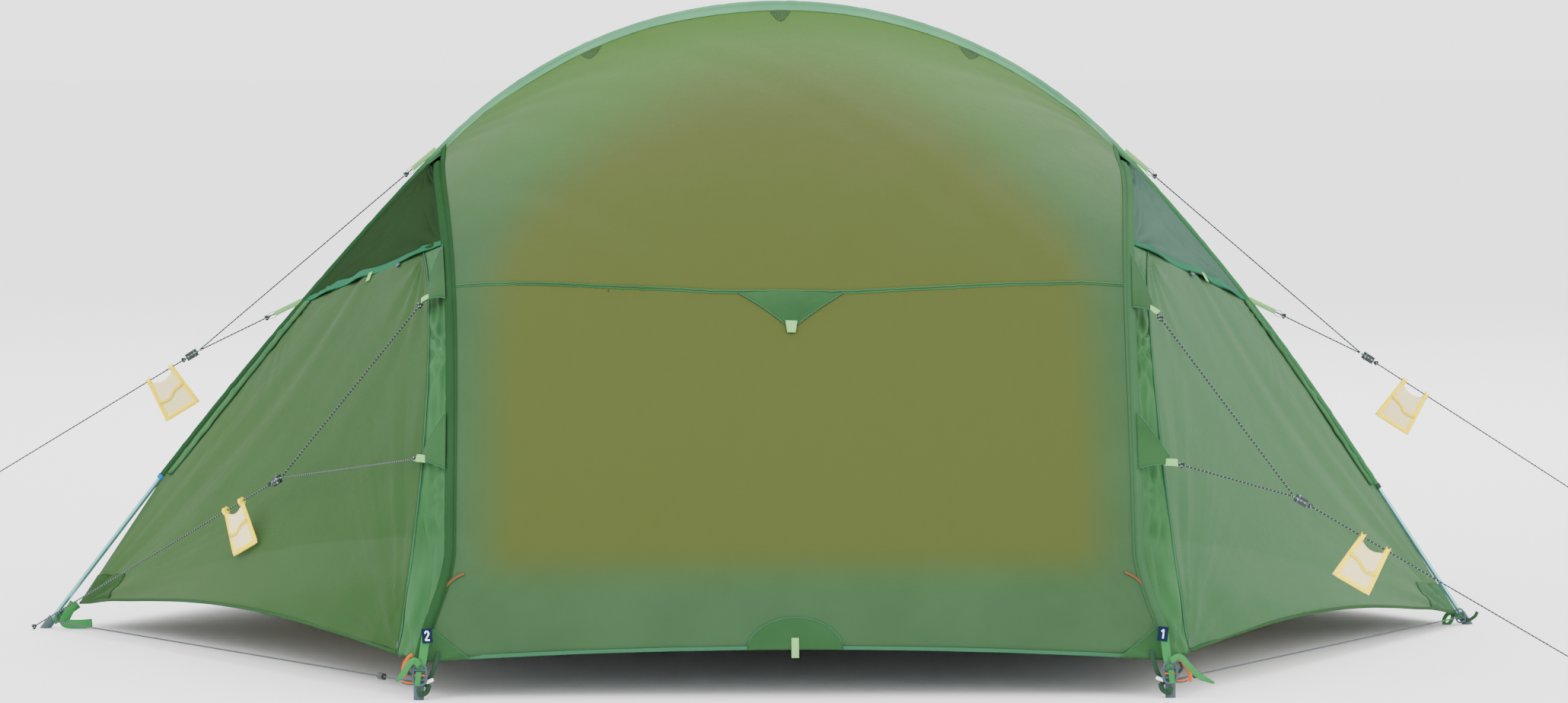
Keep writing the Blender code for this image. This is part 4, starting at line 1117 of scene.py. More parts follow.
def tip_share(side, line):
    """0 up to the ridge sleeve's end, then growing to 1 at the porch tip."""
    past = np.abs(line[:, 0]) - RIDGE_SLEEVE_END[side]
    return np.clip(past / (TIP_X[side] - RIDGE_SLEEVE_END[side]), 0.0, 1.0)


def porch_ridge(side, start, end, count):
    """The line that a porch panel hangs from; past the sleeve's end it leaves the pole, down to the tip."""
    line = piece_of(ridge_half(side), start, end, count)
    return line - tip_share(side, line)[:, None] * TIP_DROP[side] * leg_outward(side)


EDGE_STANDOFF = 0.8  # how far a panel's edge leaves a pole's line, in radii of its sleeve


def ridge_gap(side, line):
    """How far a porch panel's edge stands off the ridge line."""
    below = tip_share(side, line)
    return ((1 - below) * RIDGE_SLEEVE_RADIUS * EDGE_STANDOFF + below * TIP_HALF_GAP[side])[:, None]


def ridge_lengths(side):
    """Lengths from the ridge's top to the porch's start, to the hood's lower edge and to the porch tip."""
    half = ridge_half(side)
    start = length_at(half, 0, side * (HOOP_X + HOOD_START))
    return start, length_at(half, 2, HOOD_RIDGE_HEIGHT), length_at(half, 0, side * TIP_X[side])


def hoop_piece(side, end, top, bottom, count):
    """Half of a hoop's line between two heights; a height of None is just beside the ridge."""
    line = half_hoop(side, end)
    start = HOOD_START if top is None else length_at(line, 2, top)
    return piece_of(line, start, length_at(line, 2, bottom), count)


SAG_SIDEWAYS = 0.9
SAG_BACK = 0.4
HOOP_GAP = HOOP_SLEEVE_RADIUS * EDGE_STANDOFF


def loft(first, last, columns, first_gap, last_gap, sag=0.0, hem_arch=0.0):
    """Straight rulings between two lines, held off each by a gap, sagging inwards, with an arched hem."""
    start = first + first_gap * across(first, last)
    end = last + last_gap * across(last, first)
    share = np.linspace(0.0, 1.0, columns)[None, :, None]
    grid = (1 - share) * start[:, None, :] + share * end[:, None, :]
    down = column(0.0, 1.0, len(first))[..., None]
    bow = np.sin(math.pi * share)
    outside = (np.sign(first[:, 0].mean()) * SAG_SIDEWAYS, np.sign(last[:, 1].mean()) * SAG_BACK, 0.0)
    grid = grid - sag * bow * np.sin(math.pi * down) * outside
    grid[..., 2:] += hem_arch * bow * down**4
    return grid


def grid_normals(grid, look):
    """The unit normals of a grid of points, turned to look one way."""
    down, side = np.gradient(grid, axis=0), np.gradient(grid, axis=1)
    normal = unit(np.cross(side, down))
    middle = normal[normal.shape[0] // 2, normal.shape[1] // 2]
    return normal if middle @ np.asarray(look, float) > 0 else -normal


USUAL_FOLDS = 18  # a pull with this many folds has the full height
FOLD_START = 0.06


def folded(grid, look, pulls, amount, edges):
    """A grid lifted along its normals by folds that spread from some of its points.

    Each pull is a row share, a column share, a reach in metres and a number of folds; the lift is a cosine of
    the angle round that point, unevenly spaced, fading with distance, and lower where the folds are closer.
    """
    down, side = column(0, 1, grid.shape[0]), np.linspace(0, 1, grid.shape[1])[None, :]
    height = lengths(grid[:, grid.shape[1] // 2])[-1]
    width = lengths(grid[grid.shape[0] // 2])[-1]
    free = np.clip(side / edges, 0, 1) * np.clip((1 - side) / edges, 0, 1)
    lift = np.zeros(grid.shape[:2])
    for index, (pull_down, pull_side, reach, count) in enumerate(pulls):
        x, y = (side - pull_side) * width, (down - pull_down) * height
        away, angle = np.hypot(x, y), np.arctan2(y, x)
        phase = angle * count + 1.8 * np.sin(angle * count / 3.7 + index) + index * 1.3
        height_share = (USUAL_FOLDS / count) ** 0.8 * np.clip(away / FOLD_START, 0, 1)
        lift += height_share * np.exp(-away / reach) * np.cos(phase)
    lift += 0.5 * hash_wave(side * width * 0.8 + down * height * 0.5, 0.24, 5.0)
    return grid + (lift * free * amount)[..., None] * grid_normals(grid, look)


def hood_grid(side, rows, columns):
    """The hood: a loft from the crossing of the poles down to its straight lower edge."""
    start, edge, _ = ridge_lengths(side)
    hoop = hoop_piece(side, FRONT, None, HOOD_HOOP_HEIGHT, rows)
    ridge = porch_ridge(side, start, edge, rows)
    return loft(ridge, hoop, columns, ridge_gap(side, ridge), HOOP_GAP, PORCH_SAG / 2)


def zip_points(side):
    """Bottom, middle and top of a door's zip, which is an arc of a circle."""
    edge = hood_grid(side, 40, 2)[-1]
    top = (1 - ZIP_TOP_SHARE) * edge[0] + ZIP_TOP_SHARE * edge[-1]
    top[2] -= HOOD_OVER_ZIP
    return np.array(ZIP_BOTTOM) * (side, 1, 1), np.array(ZIP_MIDDLE) * (side, 1, 1), top


HOOD_FOLDS = [(1, 0, 0.3, 34), (1, 1, 0.2, 16), (0, 0.5, 0.4, 22), (1, 0, 0.3, 60)]
DOOR_FOLDS = [(1, 0, 0.35, 18), (1, 0, 0.22, 64), (1, 1, 0.25, 17), (1, 1, 0.20, 56)]
DOOR_FOLDS += [(0, 1, 0.2, 14), (0, 0, 0.2, 40)]
FLAP_FOLDS = [(0, 0, 0.5, 7), (0.35, 1, 0.2, 9), (0.7, 0, 0.2, 11), (1, 1, 0.5, 7)]
HEM_WAVE = {LEFT: 0.003, RIGHT: 0.007}
HOOD_ROWS, HOOD_COLUMNS = 65, 97
DOOR_POINTS = 129
FLAP_COLUMNS = 33
TUCK_DEPTH = 0.030
TUCK_ROWS = 4
FLAP_SETTLE = 0.12  # the share of the zip flap, from its top, over which its folds grow
FOLD_HEIGHT = {"hood": 0.0056, "door": 0.0034, "flap": 0.0030, "rear": 0.0030, "crease": 0.0022}
STILL_EDGE = {"hood": 0.06, "door": 0.03, "flap": 0.2}  # the share of a width over which folds grow
TUCK_INSET = {"door": 0.003, "flap": 0.008}


def hem_wave(share):
    """How far the hood's lower edge rises along its length, as a share: one long bow and two short ones."""
    return np.sin(math.pi * share) * (0.75 + 0.25 * np.sin(5.2 * math.pi * share + 0.6))


def tucked(hood, look, first, last, panel, inset):
    """A panel with rows of cloth that reach up behind the hood's lower edge, above the panel's top row.

    The panel covers that edge from the first to the last share of it. The rows stand back from the panel's
    top row along the hood's own slope by up to TUCK_DEPTH, a little inside.
    """
    slope = unit(hood[-9] - hood[-1]) * TUCK_DEPTH - inset * grid_normals(hood, look)[-1]
    from_ridge = lengths(hood[-1]) / lengths(hood[-1])[-1]
    place = np.linspace(first, last, panel.shape[1])
    lean = np.stack([np.interp(place, from_ridge, slope[:, axis]) for axis in range(3)], axis=-1)
    rows = panel[0] + column(1.0, 1 / TUCK_ROWS, TUCK_ROWS)[..., None] * lean
    return np.concatenate([rows, panel])


def make_porch(side):
    """Hood with its hem, door, zip flap and rear panel of one porch."""
    name = SIDE_NAME[side]
    look = (side * 0.6, -0.7, 0.4)
    plain_hood = hood_grid(side, HOOD_ROWS, HOOD_COLUMNS)
    hood = folded(plain_hood, look, HOOD_FOLDS, FOLD_HEIGHT["hood"], STILL_EDGE["hood"])
    hood[..., 2] += HEM_WAVE[side] * column(0, 1, HOOD_ROWS) ** 4 * hem_wave(np.linspace(0, 1, HOOD_COLUMNS))
    panel_piece(f"{name}_hood", hood, "hood", look, f"{name}_hood")
    make_hood_trim(side, hood, look)

    start, edge, tip = ridge_lengths(side)
    points = zip_points(side)
    inner, outer = (arc_line(*points, DOOR_POINTS, half * ZIP_SLOT / 2)[::-1] for half in (-1, 1))
    ridge = porch_ridge(side, edge + HOOD_OVER_ZIP, tip, DOOR_POINTS)
    door = loft(ridge, inner, DOOR_POINTS, ridge_gap(side, ridge), 0.0, PORCH_SAG, PORCH_HEM_ARCH)
    door = folded(door, look, DOOR_FOLDS, FOLD_HEIGHT["door"], STILL_EDGE["door"])
    door = tucked(plain_hood, look, 0.0, ZIP_TOP_SHARE, door, TUCK_INSET["door"])
    piece = panel_piece(f"{name}_door", door, "door", look, f"{name}_door")
    for cloth in [piece, *make_door_trim(side, door, look)]:  # each door piece gets a mesh of its own
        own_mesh(cloth)

    hoop = hoop_piece(side, FRONT, HOOD_HOOP_HEIGHT - HOOD_OVER_ZIP, ZIP_BOTTOM[2], DOOR_POINTS)
    flat_flap = loft(outer, hoop, FLAP_COLUMNS, 0.0, HOOP_GAP)
    flap = folded(flat_flap, look, FLAP_FOLDS, FOLD_HEIGHT["flap"], STILL_EDGE["flap"])
    place, down = np.linspace(0, 1, FLAP_COLUMNS)[None, :], column(0, 1, DOOR_POINTS)
    crease = np.sin(math.tau * (2.6 * place + 0.7 * np.sin(4.5 * down + side))) * np.sin(math.pi * place)
    flap = flap + (FOLD_HEIGHT["crease"] * crease)[..., None] * grid_normals(flap, look)
    flap = flat_flap + np.clip(down / FLAP_SETTLE, 0, 1)[..., None] * (flap - flat_flap)
    flap = tucked(plain_hood, look, ZIP_TOP_SHARE, 1.0, flap, TUCK_INSET["flap"])
    panel_piece(f"{name}_zip_flap", flap, "strip", look, f"{name}_zip_flap")
    make_flap_trim(side, flap, look)
    make_zip(side, points, look)

    hoop = hoop_piece(side, REAR, None, ZIP_BOTTOM[2], DOOR_POINTS)
    ridge = porch_ridge(side, start, tip, DOOR_POINTS)
    look = (side * 0.6, 0.7, 0.4)
    rear = loft(ridge, hoop, DOOR_POINTS, ridge_gap(side, ridge), HOOP_GAP, PORCH_SAG, PORCH_HEM_ARCH)
    rear = folded(rear, look, DOOR_FOLDS, FOLD_HEIGHT["rear"], STILL_EDGE["door"])
    panel_piece(f"{name}_rear", rear, "door", look, f"{name}_rear_panel")
    band(f"{name}_rear_hem", rear[-1], rear[-5], grid_normals(rear, look)[-1], EDGE_WIDTH, "edge")


HOOD_TABS = {LEFT: (0.49, 0.70), RIGHT: (0.41, 0.50)}  # places of the tab and the toggle along the hem
HOOD_HEM_WIDTH = 0.018
EDGE_WIDTH = 0.006
COVER_WIDTH = {LEFT: 0.034, RIGHT: 0.022}
TIP_PATCH_POINTS = 13
ZIP_HALF_WIDTH = 0.006
ZIP_COIL = (0.0036, 0.0020)


def make_hood_trim(side, hood, look):
    """The hood's hem tape with a small tab and a toggle below it."""
    name = SIDE_NAME[side]
    line, normals = hood[-1], grid_normals(hood, look)[-1]
    band(f"{name}_hood_hem", line, hood[-7], normals, HOOD_HEM_WIDTH, "hood_hem")
    tab, toggle = (int(share * (len(line) - 1)) for share in HOOD_TABS[side])
    starts = line + normals * 0.003
    down = unit(hood[-1] - hood[-7])
    points = [starts[tab] + fall * down[tab] for fall in (-0.004, 0.008, 0.018)]
    tape(f"{name}_hood_tab", points, normals[tab], 0.010, "tab")
    low = starts[toggle] + 0.010 * down[toggle]
    beside = unit(line[toggle + 1] - line[toggle])
    bar(f"{name}_hood_toggle", low, 0.008 * beside, 0.0028, "plastic")
    tape(f"{name}_hood_toggle_loop", [starts[toggle], low], normals[toggle], 0.005, "dark_webbing", 0.001)


def make_door_trim(side, door, look):
    """Hem, tip patch and the cover over the zip beside the ridge, with a dark line in the zip's colour along
    the cover's edge: partly the zip, partly painted shadow of the gap under the cover.
    """
    name = SIDE_NAME[side]
    normals = grid_normals(door, look)
    hem = band(f"{name}_door_hem", door[-1], door[-5], normals[-1], EDGE_WIDTH, "edge")
    patch = (door + 0.0012 * normals)[-TIP_PATCH_POINTS:, :TIP_PATCH_POINTS]
    patch = sheet_piece(f"{name}_tip_patch", patch, "reinforced", look)
    upper = np.abs(door[:, 0, 0]) < RIDGE_SLEEVE_END[side] - 0.004
    upper[:TUCK_ROWS] = False
    line, normal = door[upper, 2], normals[upper, 2]
    along = lengths(line)
    away = unit(door[upper, 24] - line)
    narrowing = 1 - 0.45 * column(0, 1, len(line)) ** 3
    edge = line + away * (COVER_WIDTH[side] * narrowing + 0.0020 * hash_wave(along, 0.07, 3.0)[:, None])
    share = np.linspace(0.0, 1.0, 7)[None, :, None]
    puffs = 1 + 0.5 * hash_wave(along, 0.05, 7.0)[:, None, None]
    lift = 0.0025 + 0.0035 * np.sin(math.pi * share) * puffs
    grid = line[:, None] * (1 - share) + edge[:, None] * share + lift * normal[:, None]
    cover = sheet_piece(f"{name}_zip_cover", grid, "strip", look)
    # The dark line along the cover's edge: partly the zip, partly painted shadow of the gap under the cover
    return [hem, patch, cover, piping(f"{name}_zip_line", edge + 0.0014 * normal, 0.0016, look, "zip")]


def make_flap_trim(side, flap, look):
    """The tape along the flap's free edge and the flap's hem."""
    name = SIDE_NAME[side]
    normals = grid_normals(flap, look)
    low = slice(TUCK_ROWS, None)
    band(f"{name}_flap_edge", flap[low, 0], flap[low, 4], normals[low, 0], 0.004, "hem", 0.0012)
    band(f"{name}_flap_hem", flap[-1], flap[-5], normals[-1], EDGE_WIDTH, "edge")


def make_zip(side, points, look):
    """The closed zip: a strip over the arc between door and flap, and the raised coil along its middle."""
    name = SIDE_NAME[side]
    growths = np.linspace(-ZIP_HALF_WIDTH, ZIP_HALF_WIDTH, 7)
    strip = np.stack([arc_line(*points, DOOR_POINTS, grow)[::-1] for grow in growths], axis=1)
    normals = grid_normals(strip, look)
    sheet_piece(f"{name}_zip_strip", strip - 0.0009 * normals, "zip", look)
    swept(f"{name}_zip_coil", strip[:, 3], tape_profile(*ZIP_COIL), "zip", up=normals[:, 3])


for porch in SIDES:
    make_porch(porch)


# Sleeves


SLEEVE_PUCKER = 0.05  # share of the radius
SLEEVE_WAVE = 0.05  # length of the longest pucker
SLEEVE_FIT = 0.97  # share of the CAD's radius


def make_sleeves():
    """Sleeves of cloth round the poles, slightly puckered along their length."""
    ends = (length_at(RIDGE, 0, side * RIDGE_SLEEVE_END[side]) for side in SIDES)
    sleeves = {"ridge_sleeve": (piece_of(RIDGE, *ends, 321), RIDGE_SLEEVE_RADIUS, -FORWARD, "sleeve")}
    for side in SIDES:
        halves = [half_hoop(side, end) for end in ENDS]
        front, rear = (piece_of(half, 0.0, length_at(half, 2, HOOP_SLEEVE_BOTTOM), 221) for half in halves)
        line = np.concatenate([front[::-1], rear[1:]])
        sleeves[f"hoop_sleeve_{SIDE_NAME[side]}"] = (line, HOOP_SLEEVE_RADIUS, SIDEWAYS, "hoop")
    for name, (line, radius, up, finish) in sleeves.items():
        pucker = 1 + SLEEVE_PUCKER * hash_wave(lengths(line), SLEEVE_WAVE, radius * 900)
        profile = round_profile(radius * SLEEVE_FIT, 20)
        swept(f"{name}_cloth", line, profile, finish, up=up, scale=pucker, replaces=[name])


CROSSING_LOOP = (0.636, 0.684)
CROSSING_LOOP_DROP = 0.013
CROSSING_LOOP_ASIDE = 0.004
CROSSING_LOOP_WIDTH = 0.022
CROSSING_PATCH = 0.045
CROSSING_PATCH_WIDTH = 0.030


def make_crossings():
    """At each crossing, tape under the ridge sleeve, on both sides, and a patch over the hoop."""
    for side in SIDES:
        name = SIDE_NAME[side]
        half = ridge_half(side)
        line = piece_of(half, *(length_at(half, 0, side * x) for x in CROSSING_LOOP), 9)
        for end in ENDS:
            beside = line + (0.0, CROSSING_LOOP_ASIDE * end, -CROSSING_LOOP_DROP)
            label = f"{name}_crossing_loop_{END_NAME[end]}"
            tape(label, beside, -end * FORWARD, CROSSING_LOOP_WIDTH, "dark_webbing")
        near, far = (piece_of(half_hoop(side, end), 0.0, CROSSING_PATCH, 6) for end in ENDS)
        over = np.concatenate([near[::-1], far[1:]]) + (side * 0.008, 0.0, HOOP_SLEEVE_RADIUS + 0.002)
        tape(f"{name}_crossing_patch", over, (side * 0.6, 0.0, 0.8), CROSSING_PATCH_WIDTH, "hem", 0.0012)


make_sleeves()
make_crossings()


# Inner tent


def inner_profile(end, bottom, count):
    """Half of the inner tent's end outline, a superellipse, from its top to a height."""
    angle = np.linspace(0.0, math.pi / 2, DENSE)
    y = INNER_REACH * np.sin(angle) ** (2 / HOOP_POWER)
    z = INNER_END_HEIGHT * np.cos(angle) ** (2 / HOOP_POWER)
    line = np.stack([0 * y, y * end, z], axis=1)
    return piece_of(line, 0.0, length_at(line, 2, bottom), count)


CANOPY_ROWS, CANOPY_COLUMNS = 65, 49
CANOPY_FOLDS = [(0, 0.5, 0.4, 12), (1, 0, 0.3, 10), (1, 1, 0.3, 10)]
CANOPY_FOLD_HEIGHT = 0.0025
CANOPY_STILL_EDGE = 0.03


def make_canopies():
    """The inner tent's top in two halves, which rises between its ends as the fly does."""
    rise = INNER_TOP - INNER_END_HEIGHT
    place = np.linspace(-1.0, 1.0, CANOPY_COLUMNS)
    for end in ENDS:
        name = f"canopy_{END_NAME[end]}"
        profile = inner_profile(end, TUB_HEIGHT, CANOPY_ROWS)
        crown = rise * (1 - place**2) * (1 - column(0.0, 1.0, CANOPY_ROWS)) ** CROWN_FADE
        x, y = place * INNER_HALF_LENGTH, profile[:, 1:2]
        grid = np.stack(np.broadcast_arrays(x, y, profile[:, 2:] + crown), axis=-1)
        look = (0.0, end, 0.4)
        grid = folded(grid, look, CANOPY_FOLDS, CANOPY_FOLD_HEIGHT, CANOPY_STILL_EDGE)
        panel_piece(name, grid, "inner", look, f"inner_{name}")


TURN = np.linspace(0.0, 2 * math.pi, 181)[:-1]  # directions round the middle of an inner door
LEAF_HOLE = 0.02  # radius of the closed middle of the door's fan of rings
SILL_GAP = 0.0006
WALL_RINGS, LEAF_RINGS = 17, 13
WALL_BULGE, LEAF_BULGE = 0.004, 0.006


def door_reach(radius, sill):
    """How far an inner door's outline is from its centre, each way round."""
    down = np.maximum(-np.sin(TURN), 1e-6)
    return np.minimum(radius, np.where(np.sin(TURN) < 0, (DOOR_CENTRE - sill) / down, radius))


def ring_grid(x, inside, outside, rings, bulge):
    """Rings between two outlines round a door's centre, moved out by the bulge of each ring."""
    share = column(0.0, 1.0, rings)
    reach = (1 - share) * inside + share * outside
    out = x + bulge + 0 * TURN
    return np.stack([out, reach * np.cos(TURN), DOOR_CENTRE + reach * np.sin(TURN)], axis=-1)


def fan_piece(name, rings, finish, node, uv, turned, closed, thickness=CLOTH):
    """A sheet from closed rings of points; turned turns its faces over, closed fills the innermost ring."""
    around = rings.shape[1]
    faces = grid_faces(*rings.shape[:2], False, True)
    faces = (faces[:, ::-1] if turned else faces).tolist()
    if closed:
        faces.append(list(range(around))[:: 1 if turned else -1])
    piece = finish_piece(name, mesh_of(name, rings, faces, uv), finish, "tent", [node])
    thicken(piece, thickness)
    return piece


def make_inner_end(side):
    """An end wall with a round-topped door in it, each a fan of rings between two outlines."""
    name = SIDE_NAME[side]
    x = side * INNER_HALF_LENGTH
    front, rear = (inner_profile(end, TUB_HEIGHT, 200) for end in ENDS)
    outline = np.concatenate([front[::-1], rear])
    outline = np.concatenate([outline, straight(outline[-1], outline[0], 300)])
    angle = np.arctan2(outline[:, 2] - DOOR_CENTRE, outline[:, 1])
    reach = np.hypot(outline[:, 2] - DOOR_CENTRE, outline[:, 1])
    order = np.argsort(angle)
    far = np.interp(TURN, angle[order], reach[order], period=2 * math.pi)

    hole = door_reach(DOOR_RADIUS + ZIP_SLOT / 2, DOOR_SILL - SILL_GAP)
    wall_bulge = side * WALL_BULGE * np.sin(math.pi * column(0.0, 1.0, WALL_RINGS))
    wall = ring_grid(x, hole, far, WALL_RINGS, wall_bulge)
    leaf_edge = door_reach(DOOR_RADIUS - ZIP_SLOT / 2, DOOR_SILL)
    leaf_bulge = side * LEAF_BULGE * np.cos(column(0, math.pi / 2, LEAF_RINGS))
    leaf = ring_grid(x, LEAF_HOLE * np.ones_like(TURN), leaf_edge, LEAF_RINGS, leaf_bulge)
    wall_size = (2 * float(np.abs(outline[:, 1]).max()), INNER_END_HEIGHT - TUB_HEIGHT)
    leaf_size = (2 * DOOR_RADIUS, DOOR_CENTRE + DOOR_RADIUS - DOOR_SILL)
    for label, grid, flat, closed in (("wall", wall, wall_size, False), ("door", leaf, leaf_size, True)):
        node = f"inner_{label}_{name}"
        uv = grid.reshape(-1, 3)[:, 1:]
        piece = fan_piece(f"{node}_cloth", grid, "inner", node, uv, side == RIGHT, closed)
        declare_sheet(piece, flat)
    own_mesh(piece)


TUB_CORNER = 0.02
TUB_POWER = 14
TUB_DIRECTIONS = 240
TUB_FLOOR_RINGS, TUB_WALL_RINGS = 20, 16
TUB_THICKNESS = 0.0010


def make_tub():
    """The floor and its low walls: a grid over a rounded rectangle whose rim turns up."""
    reach = abs(float(inner_profile(REAR, TUB_HEIGHT, 2)[-1, 1]))
    turn = np.linspace(0.0, 2 * math.pi, TUB_DIRECTIONS + 1)[:-1]
    shape = (np.abs(np.cos(turn)) ** TUB_POWER + np.abs(np.sin(turn)) ** TUB_POWER) ** (-1 / TUB_POWER)
    floor_share = np.linspace(0.05, 1 - TUB_CORNER, TUB_FLOOR_RINGS)
    share = np.concatenate([floor_share, np.ones(TUB_WALL_RINGS)])[:, None]
    walls = np.linspace(TUB_BOTTOM + TUB_CORNER / 2, TUB_HEIGHT, TUB_WALL_RINGS)
    height = np.concatenate([np.full(TUB_FLOOR_RINGS, TUB_BOTTOM), walls])[:, None]
    x, y = np.cos(turn) * shape * INNER_HALF_LENGTH, np.sin(turn) * shape * reach
    rings = np.stack([share * x, share * y, height + 0.0 * turn], axis=-1)
    points = rings.reshape(-1, 3)
    uv = points[:, :2] + points[:, 2:]
    piece = fan_piece("tub_cloth", rings, "floor", "tub_floor", uv, False, True, TUB_THICKNESS)
    wall = TUB_HEIGHT - TUB_BOTTOM
    flat = (2 * (INNER_HALF_LENGTH + wall), 2 * (reach + wall))
    declare_sheet(piece, flat)


HANGER_SLACK = 0.002


def make_hanger():
    """The strap from the ridge sleeve to the top of the inner tent."""
    low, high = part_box("apex_hanger")
    x, y, z = (low + high) / 2
    points = [(x, y, high.z), (x, y - HANGER_SLACK, z), (x, y, low.z)]
    tape("apex_hanger_strap", points, FORWARD, high.x - low.x, "webbing", 0.0012, replaces=["apex_hanger"])


make_canopies()
for inner_end in SIDES:
    make_inner_end(inner_end)
make_tub()
make_hanger()


# Guylines


def pole_foot(side):
    """The lowest point of the ridge pole's middle line, which presses on its sleeve's outer side."""
    foot, up = ridge_foot(side)
    press = RIDGE_SLEEVE_RADIUS - SLEEVE_WALL - POLE_RADIUS - POLE_GAP
    return foot + up * (CUP_FLOOR + FOOT_PLAY) + press * leg_outward(side)


def anchor_point(line, length, standoff, toward):
    """A point beside a sleeve, at a length along its line, for a cord that leaves towards another point."""
    near = point_at(line, np.array([length - CORD_RADIUS, length, length + CORD_RADIUS]))
    out = across(near, np.tile(toward, (3, 1)))[1]
    return near[1] + out * (standoff + ROOT_GAP)


def hoop_root(side, height, reach, knot):
    """Where a lower guyline's leg starts on a hoop sleeve, and the tip of the tab that it leaves from."""
    line = half_hoop(side, FRONT)
    length = length_at(line, 2, height)
    point = point_at(line, length)
    ridge = ridge_half(side)
    beside, lower = (point_at(ridge, length_at(ridge, 2, level)) for level in (height, height / 2))
    outward = facing_front(unit(np.cross(beside - point, lower - beside)))
    tip = point + reach * unit(knot - point) + TAB_LIFT * outward
    return anchor_point(line, length, HOOP_SLEEVE_RADIUS, tip), tip


def ridge_root(side, x, knot):
    """Where an upper guyline's leg starts on the ridge sleeve."""
    line = ridge_half(side)
    return anchor_point(line, length_at(line, 0, side * x), RIDGE_SLEEVE_RADIUS + CORD_RADIUS, knot)


# Each guyline's knot, its end and how far along the line the pouch is
GUYS = {
    "upper_left": ((-1.113, 0.0, 0.531), (-1.914, 0.0, 0.045), 0.085),
    "upper_right": ((1.119, 0.0, 0.522), (1.860, 0.0, 0.045), 0.122),
    "lower_left": ((-0.920, -0.572, 0.337), (-1.430, -0.020, 0.004), 0.150),
    "lower_right": ((0.882, -0.952, 0.333), (1.445, -0.950, 0.004), 0.165),
}
UPPER_ROOTS = {LEFT: (0.659, 0.917), RIGHT: (0.663, 0.903)}
LOWER_ROOTS = {LEFT: (0.690, 0.402), RIGHT: (0.672, 0.400)}
CORD_BEND = 0.003
KNOT_SIZE = 0.0042
KNOT_CORD = 0.0017


def rounded_corners(points, bend, count):
    """Straight stretches joined by short curves that start a little before each corner."""
    points = np.asarray(points, float)
    path = [points[0][None]]
    for before, corner, after in zip(points, points[1:], points[2:]):
        start = corner + bend * unit(before - corner)
        end = corner + bend * unit(after - corner)
        t = column(0, 1, 9)
        path.append((1 - t) ** 2 * start + 2 * t * (1 - t) * corner + t**2 * end)
    path.append(points[-1][None])
    path = np.concatenate(path)
    return piece_of(path, 0.0, lengths(path)[-1], count)


def cord_piece(node, path):
    """A free cord along a path."""
    piece = swept(f"{node}_cord", path, round_profile(CORD_RADIUS, 10), "cord", replaces=[node])


def tie(name, centre, size=KNOT_SIZE):
    """A small tight knot: a trefoil curve, two sines of the angle added in each direction."""
    angle = np.linspace(0.0, 2 * math.pi, 61)[:-1]
    x, z = np.sin(angle) + 2 * np.sin(2 * angle), np.cos(angle) - 2 * np.cos(2 * angle)
    path = np.asarray(centre) + size / 3 * np.stack([x, -np.sin(3 * angle), z], axis=1)
    swept(name, path, round_profile(KNOT_CORD, 8), "cord", up=(0.2, 0.9, 0.35), closed=True)


def make_guys():
    """Four guylines: legs, runner, line and pouch."""
    for place, (knot, end, distance) in GUYS.items():
        name = f"guy_{place}"
        side = LEFT if place.endswith("left") else RIGHT
        knot, end = np.array(knot), np.array(end)
        if place.startswith("upper"):
            roots = [ridge_root(side, x, knot) for x in UPPER_ROOTS[side]]
            legs = [roots[0], knot, roots[1]]
        else:
            tabs = zip(LOWER_ROOTS[side], TAB_REACH[side])
            roots, tips = zip(*(hoop_root(side, *tab, knot) for tab in tabs))
            legs = [roots[0], tips[0], knot, tips[1], roots[1]]
        cord_piece(f"{name}_legs", rounded_corners(legs, CORD_BEND, 120))
        for which, label in enumerate("ab"):
            if place.startswith("upper"):
                make_ridge_tab(f"{place}_{label}", roots[which], knot)
            else:
                make_gusset(f"{place}_{label}", side, which, tips[which], knot)
        along = unit(end - knot)
        start = knot + along * (CORD_RADIUS + CORD_GAP + RUNNER_SIZE[0] + CORD_GAP)
        cord_piece(f"{name}_line", straight(start, end, 60))
        tie(f"{name}_end_knot", end - along * 0.004)
        tie(f"{name}_runner_knot", start + along * 0.006, 0.0036)
        make_threading(name, knot, start, along)
        make_pouch(f"{name}_pouch", knot + along * distance, along)


THREAD_END = 0.0030  # the threaded cord dips off the runner this far from its ends
THREAD_STUB = 0.002


def make_threading(name, knot, start, along):
    """Cord from the legs over a runner's face to the line, and a turn of it across the face: a T."""
    face = facing_front(unit(np.cross(along, UPRIGHT)))
    lift = (RUNNER_SIZE[2] / 2 + CORD_RADIUS * 0.8) * face
    reach = (RUNNER_SIZE[0] / 2 - THREAD_END) * along
    middle = (knot + start) / 2
    over = [knot - THREAD_STUB * along, knot + 0.4 * lift, middle - reach + lift]
    over += [middle + reach + lift, start + 0.4 * lift, start + THREAD_STUB * along]
    piping(f"{name}_thread", smooth_line(over, 40), CORD_RADIUS, face, "pale_cord")
    width = RUNNER_SIZE[1] / 2 * np.cross(face, along)
    turn = middle - reach * 0.6 + 1.2 * lift
    cross = [turn - width - lift, turn - 0.8 * width, turn + 0.8 * width, turn + width - lift]
    piping(f"{name}_thread_bar", smooth_line(cross, 24), CORD_RADIUS, face, "pale_cord")


RIDGE_TAB = 0.046
RIDGE_TAB_RING = (0.0080, 0.0060)


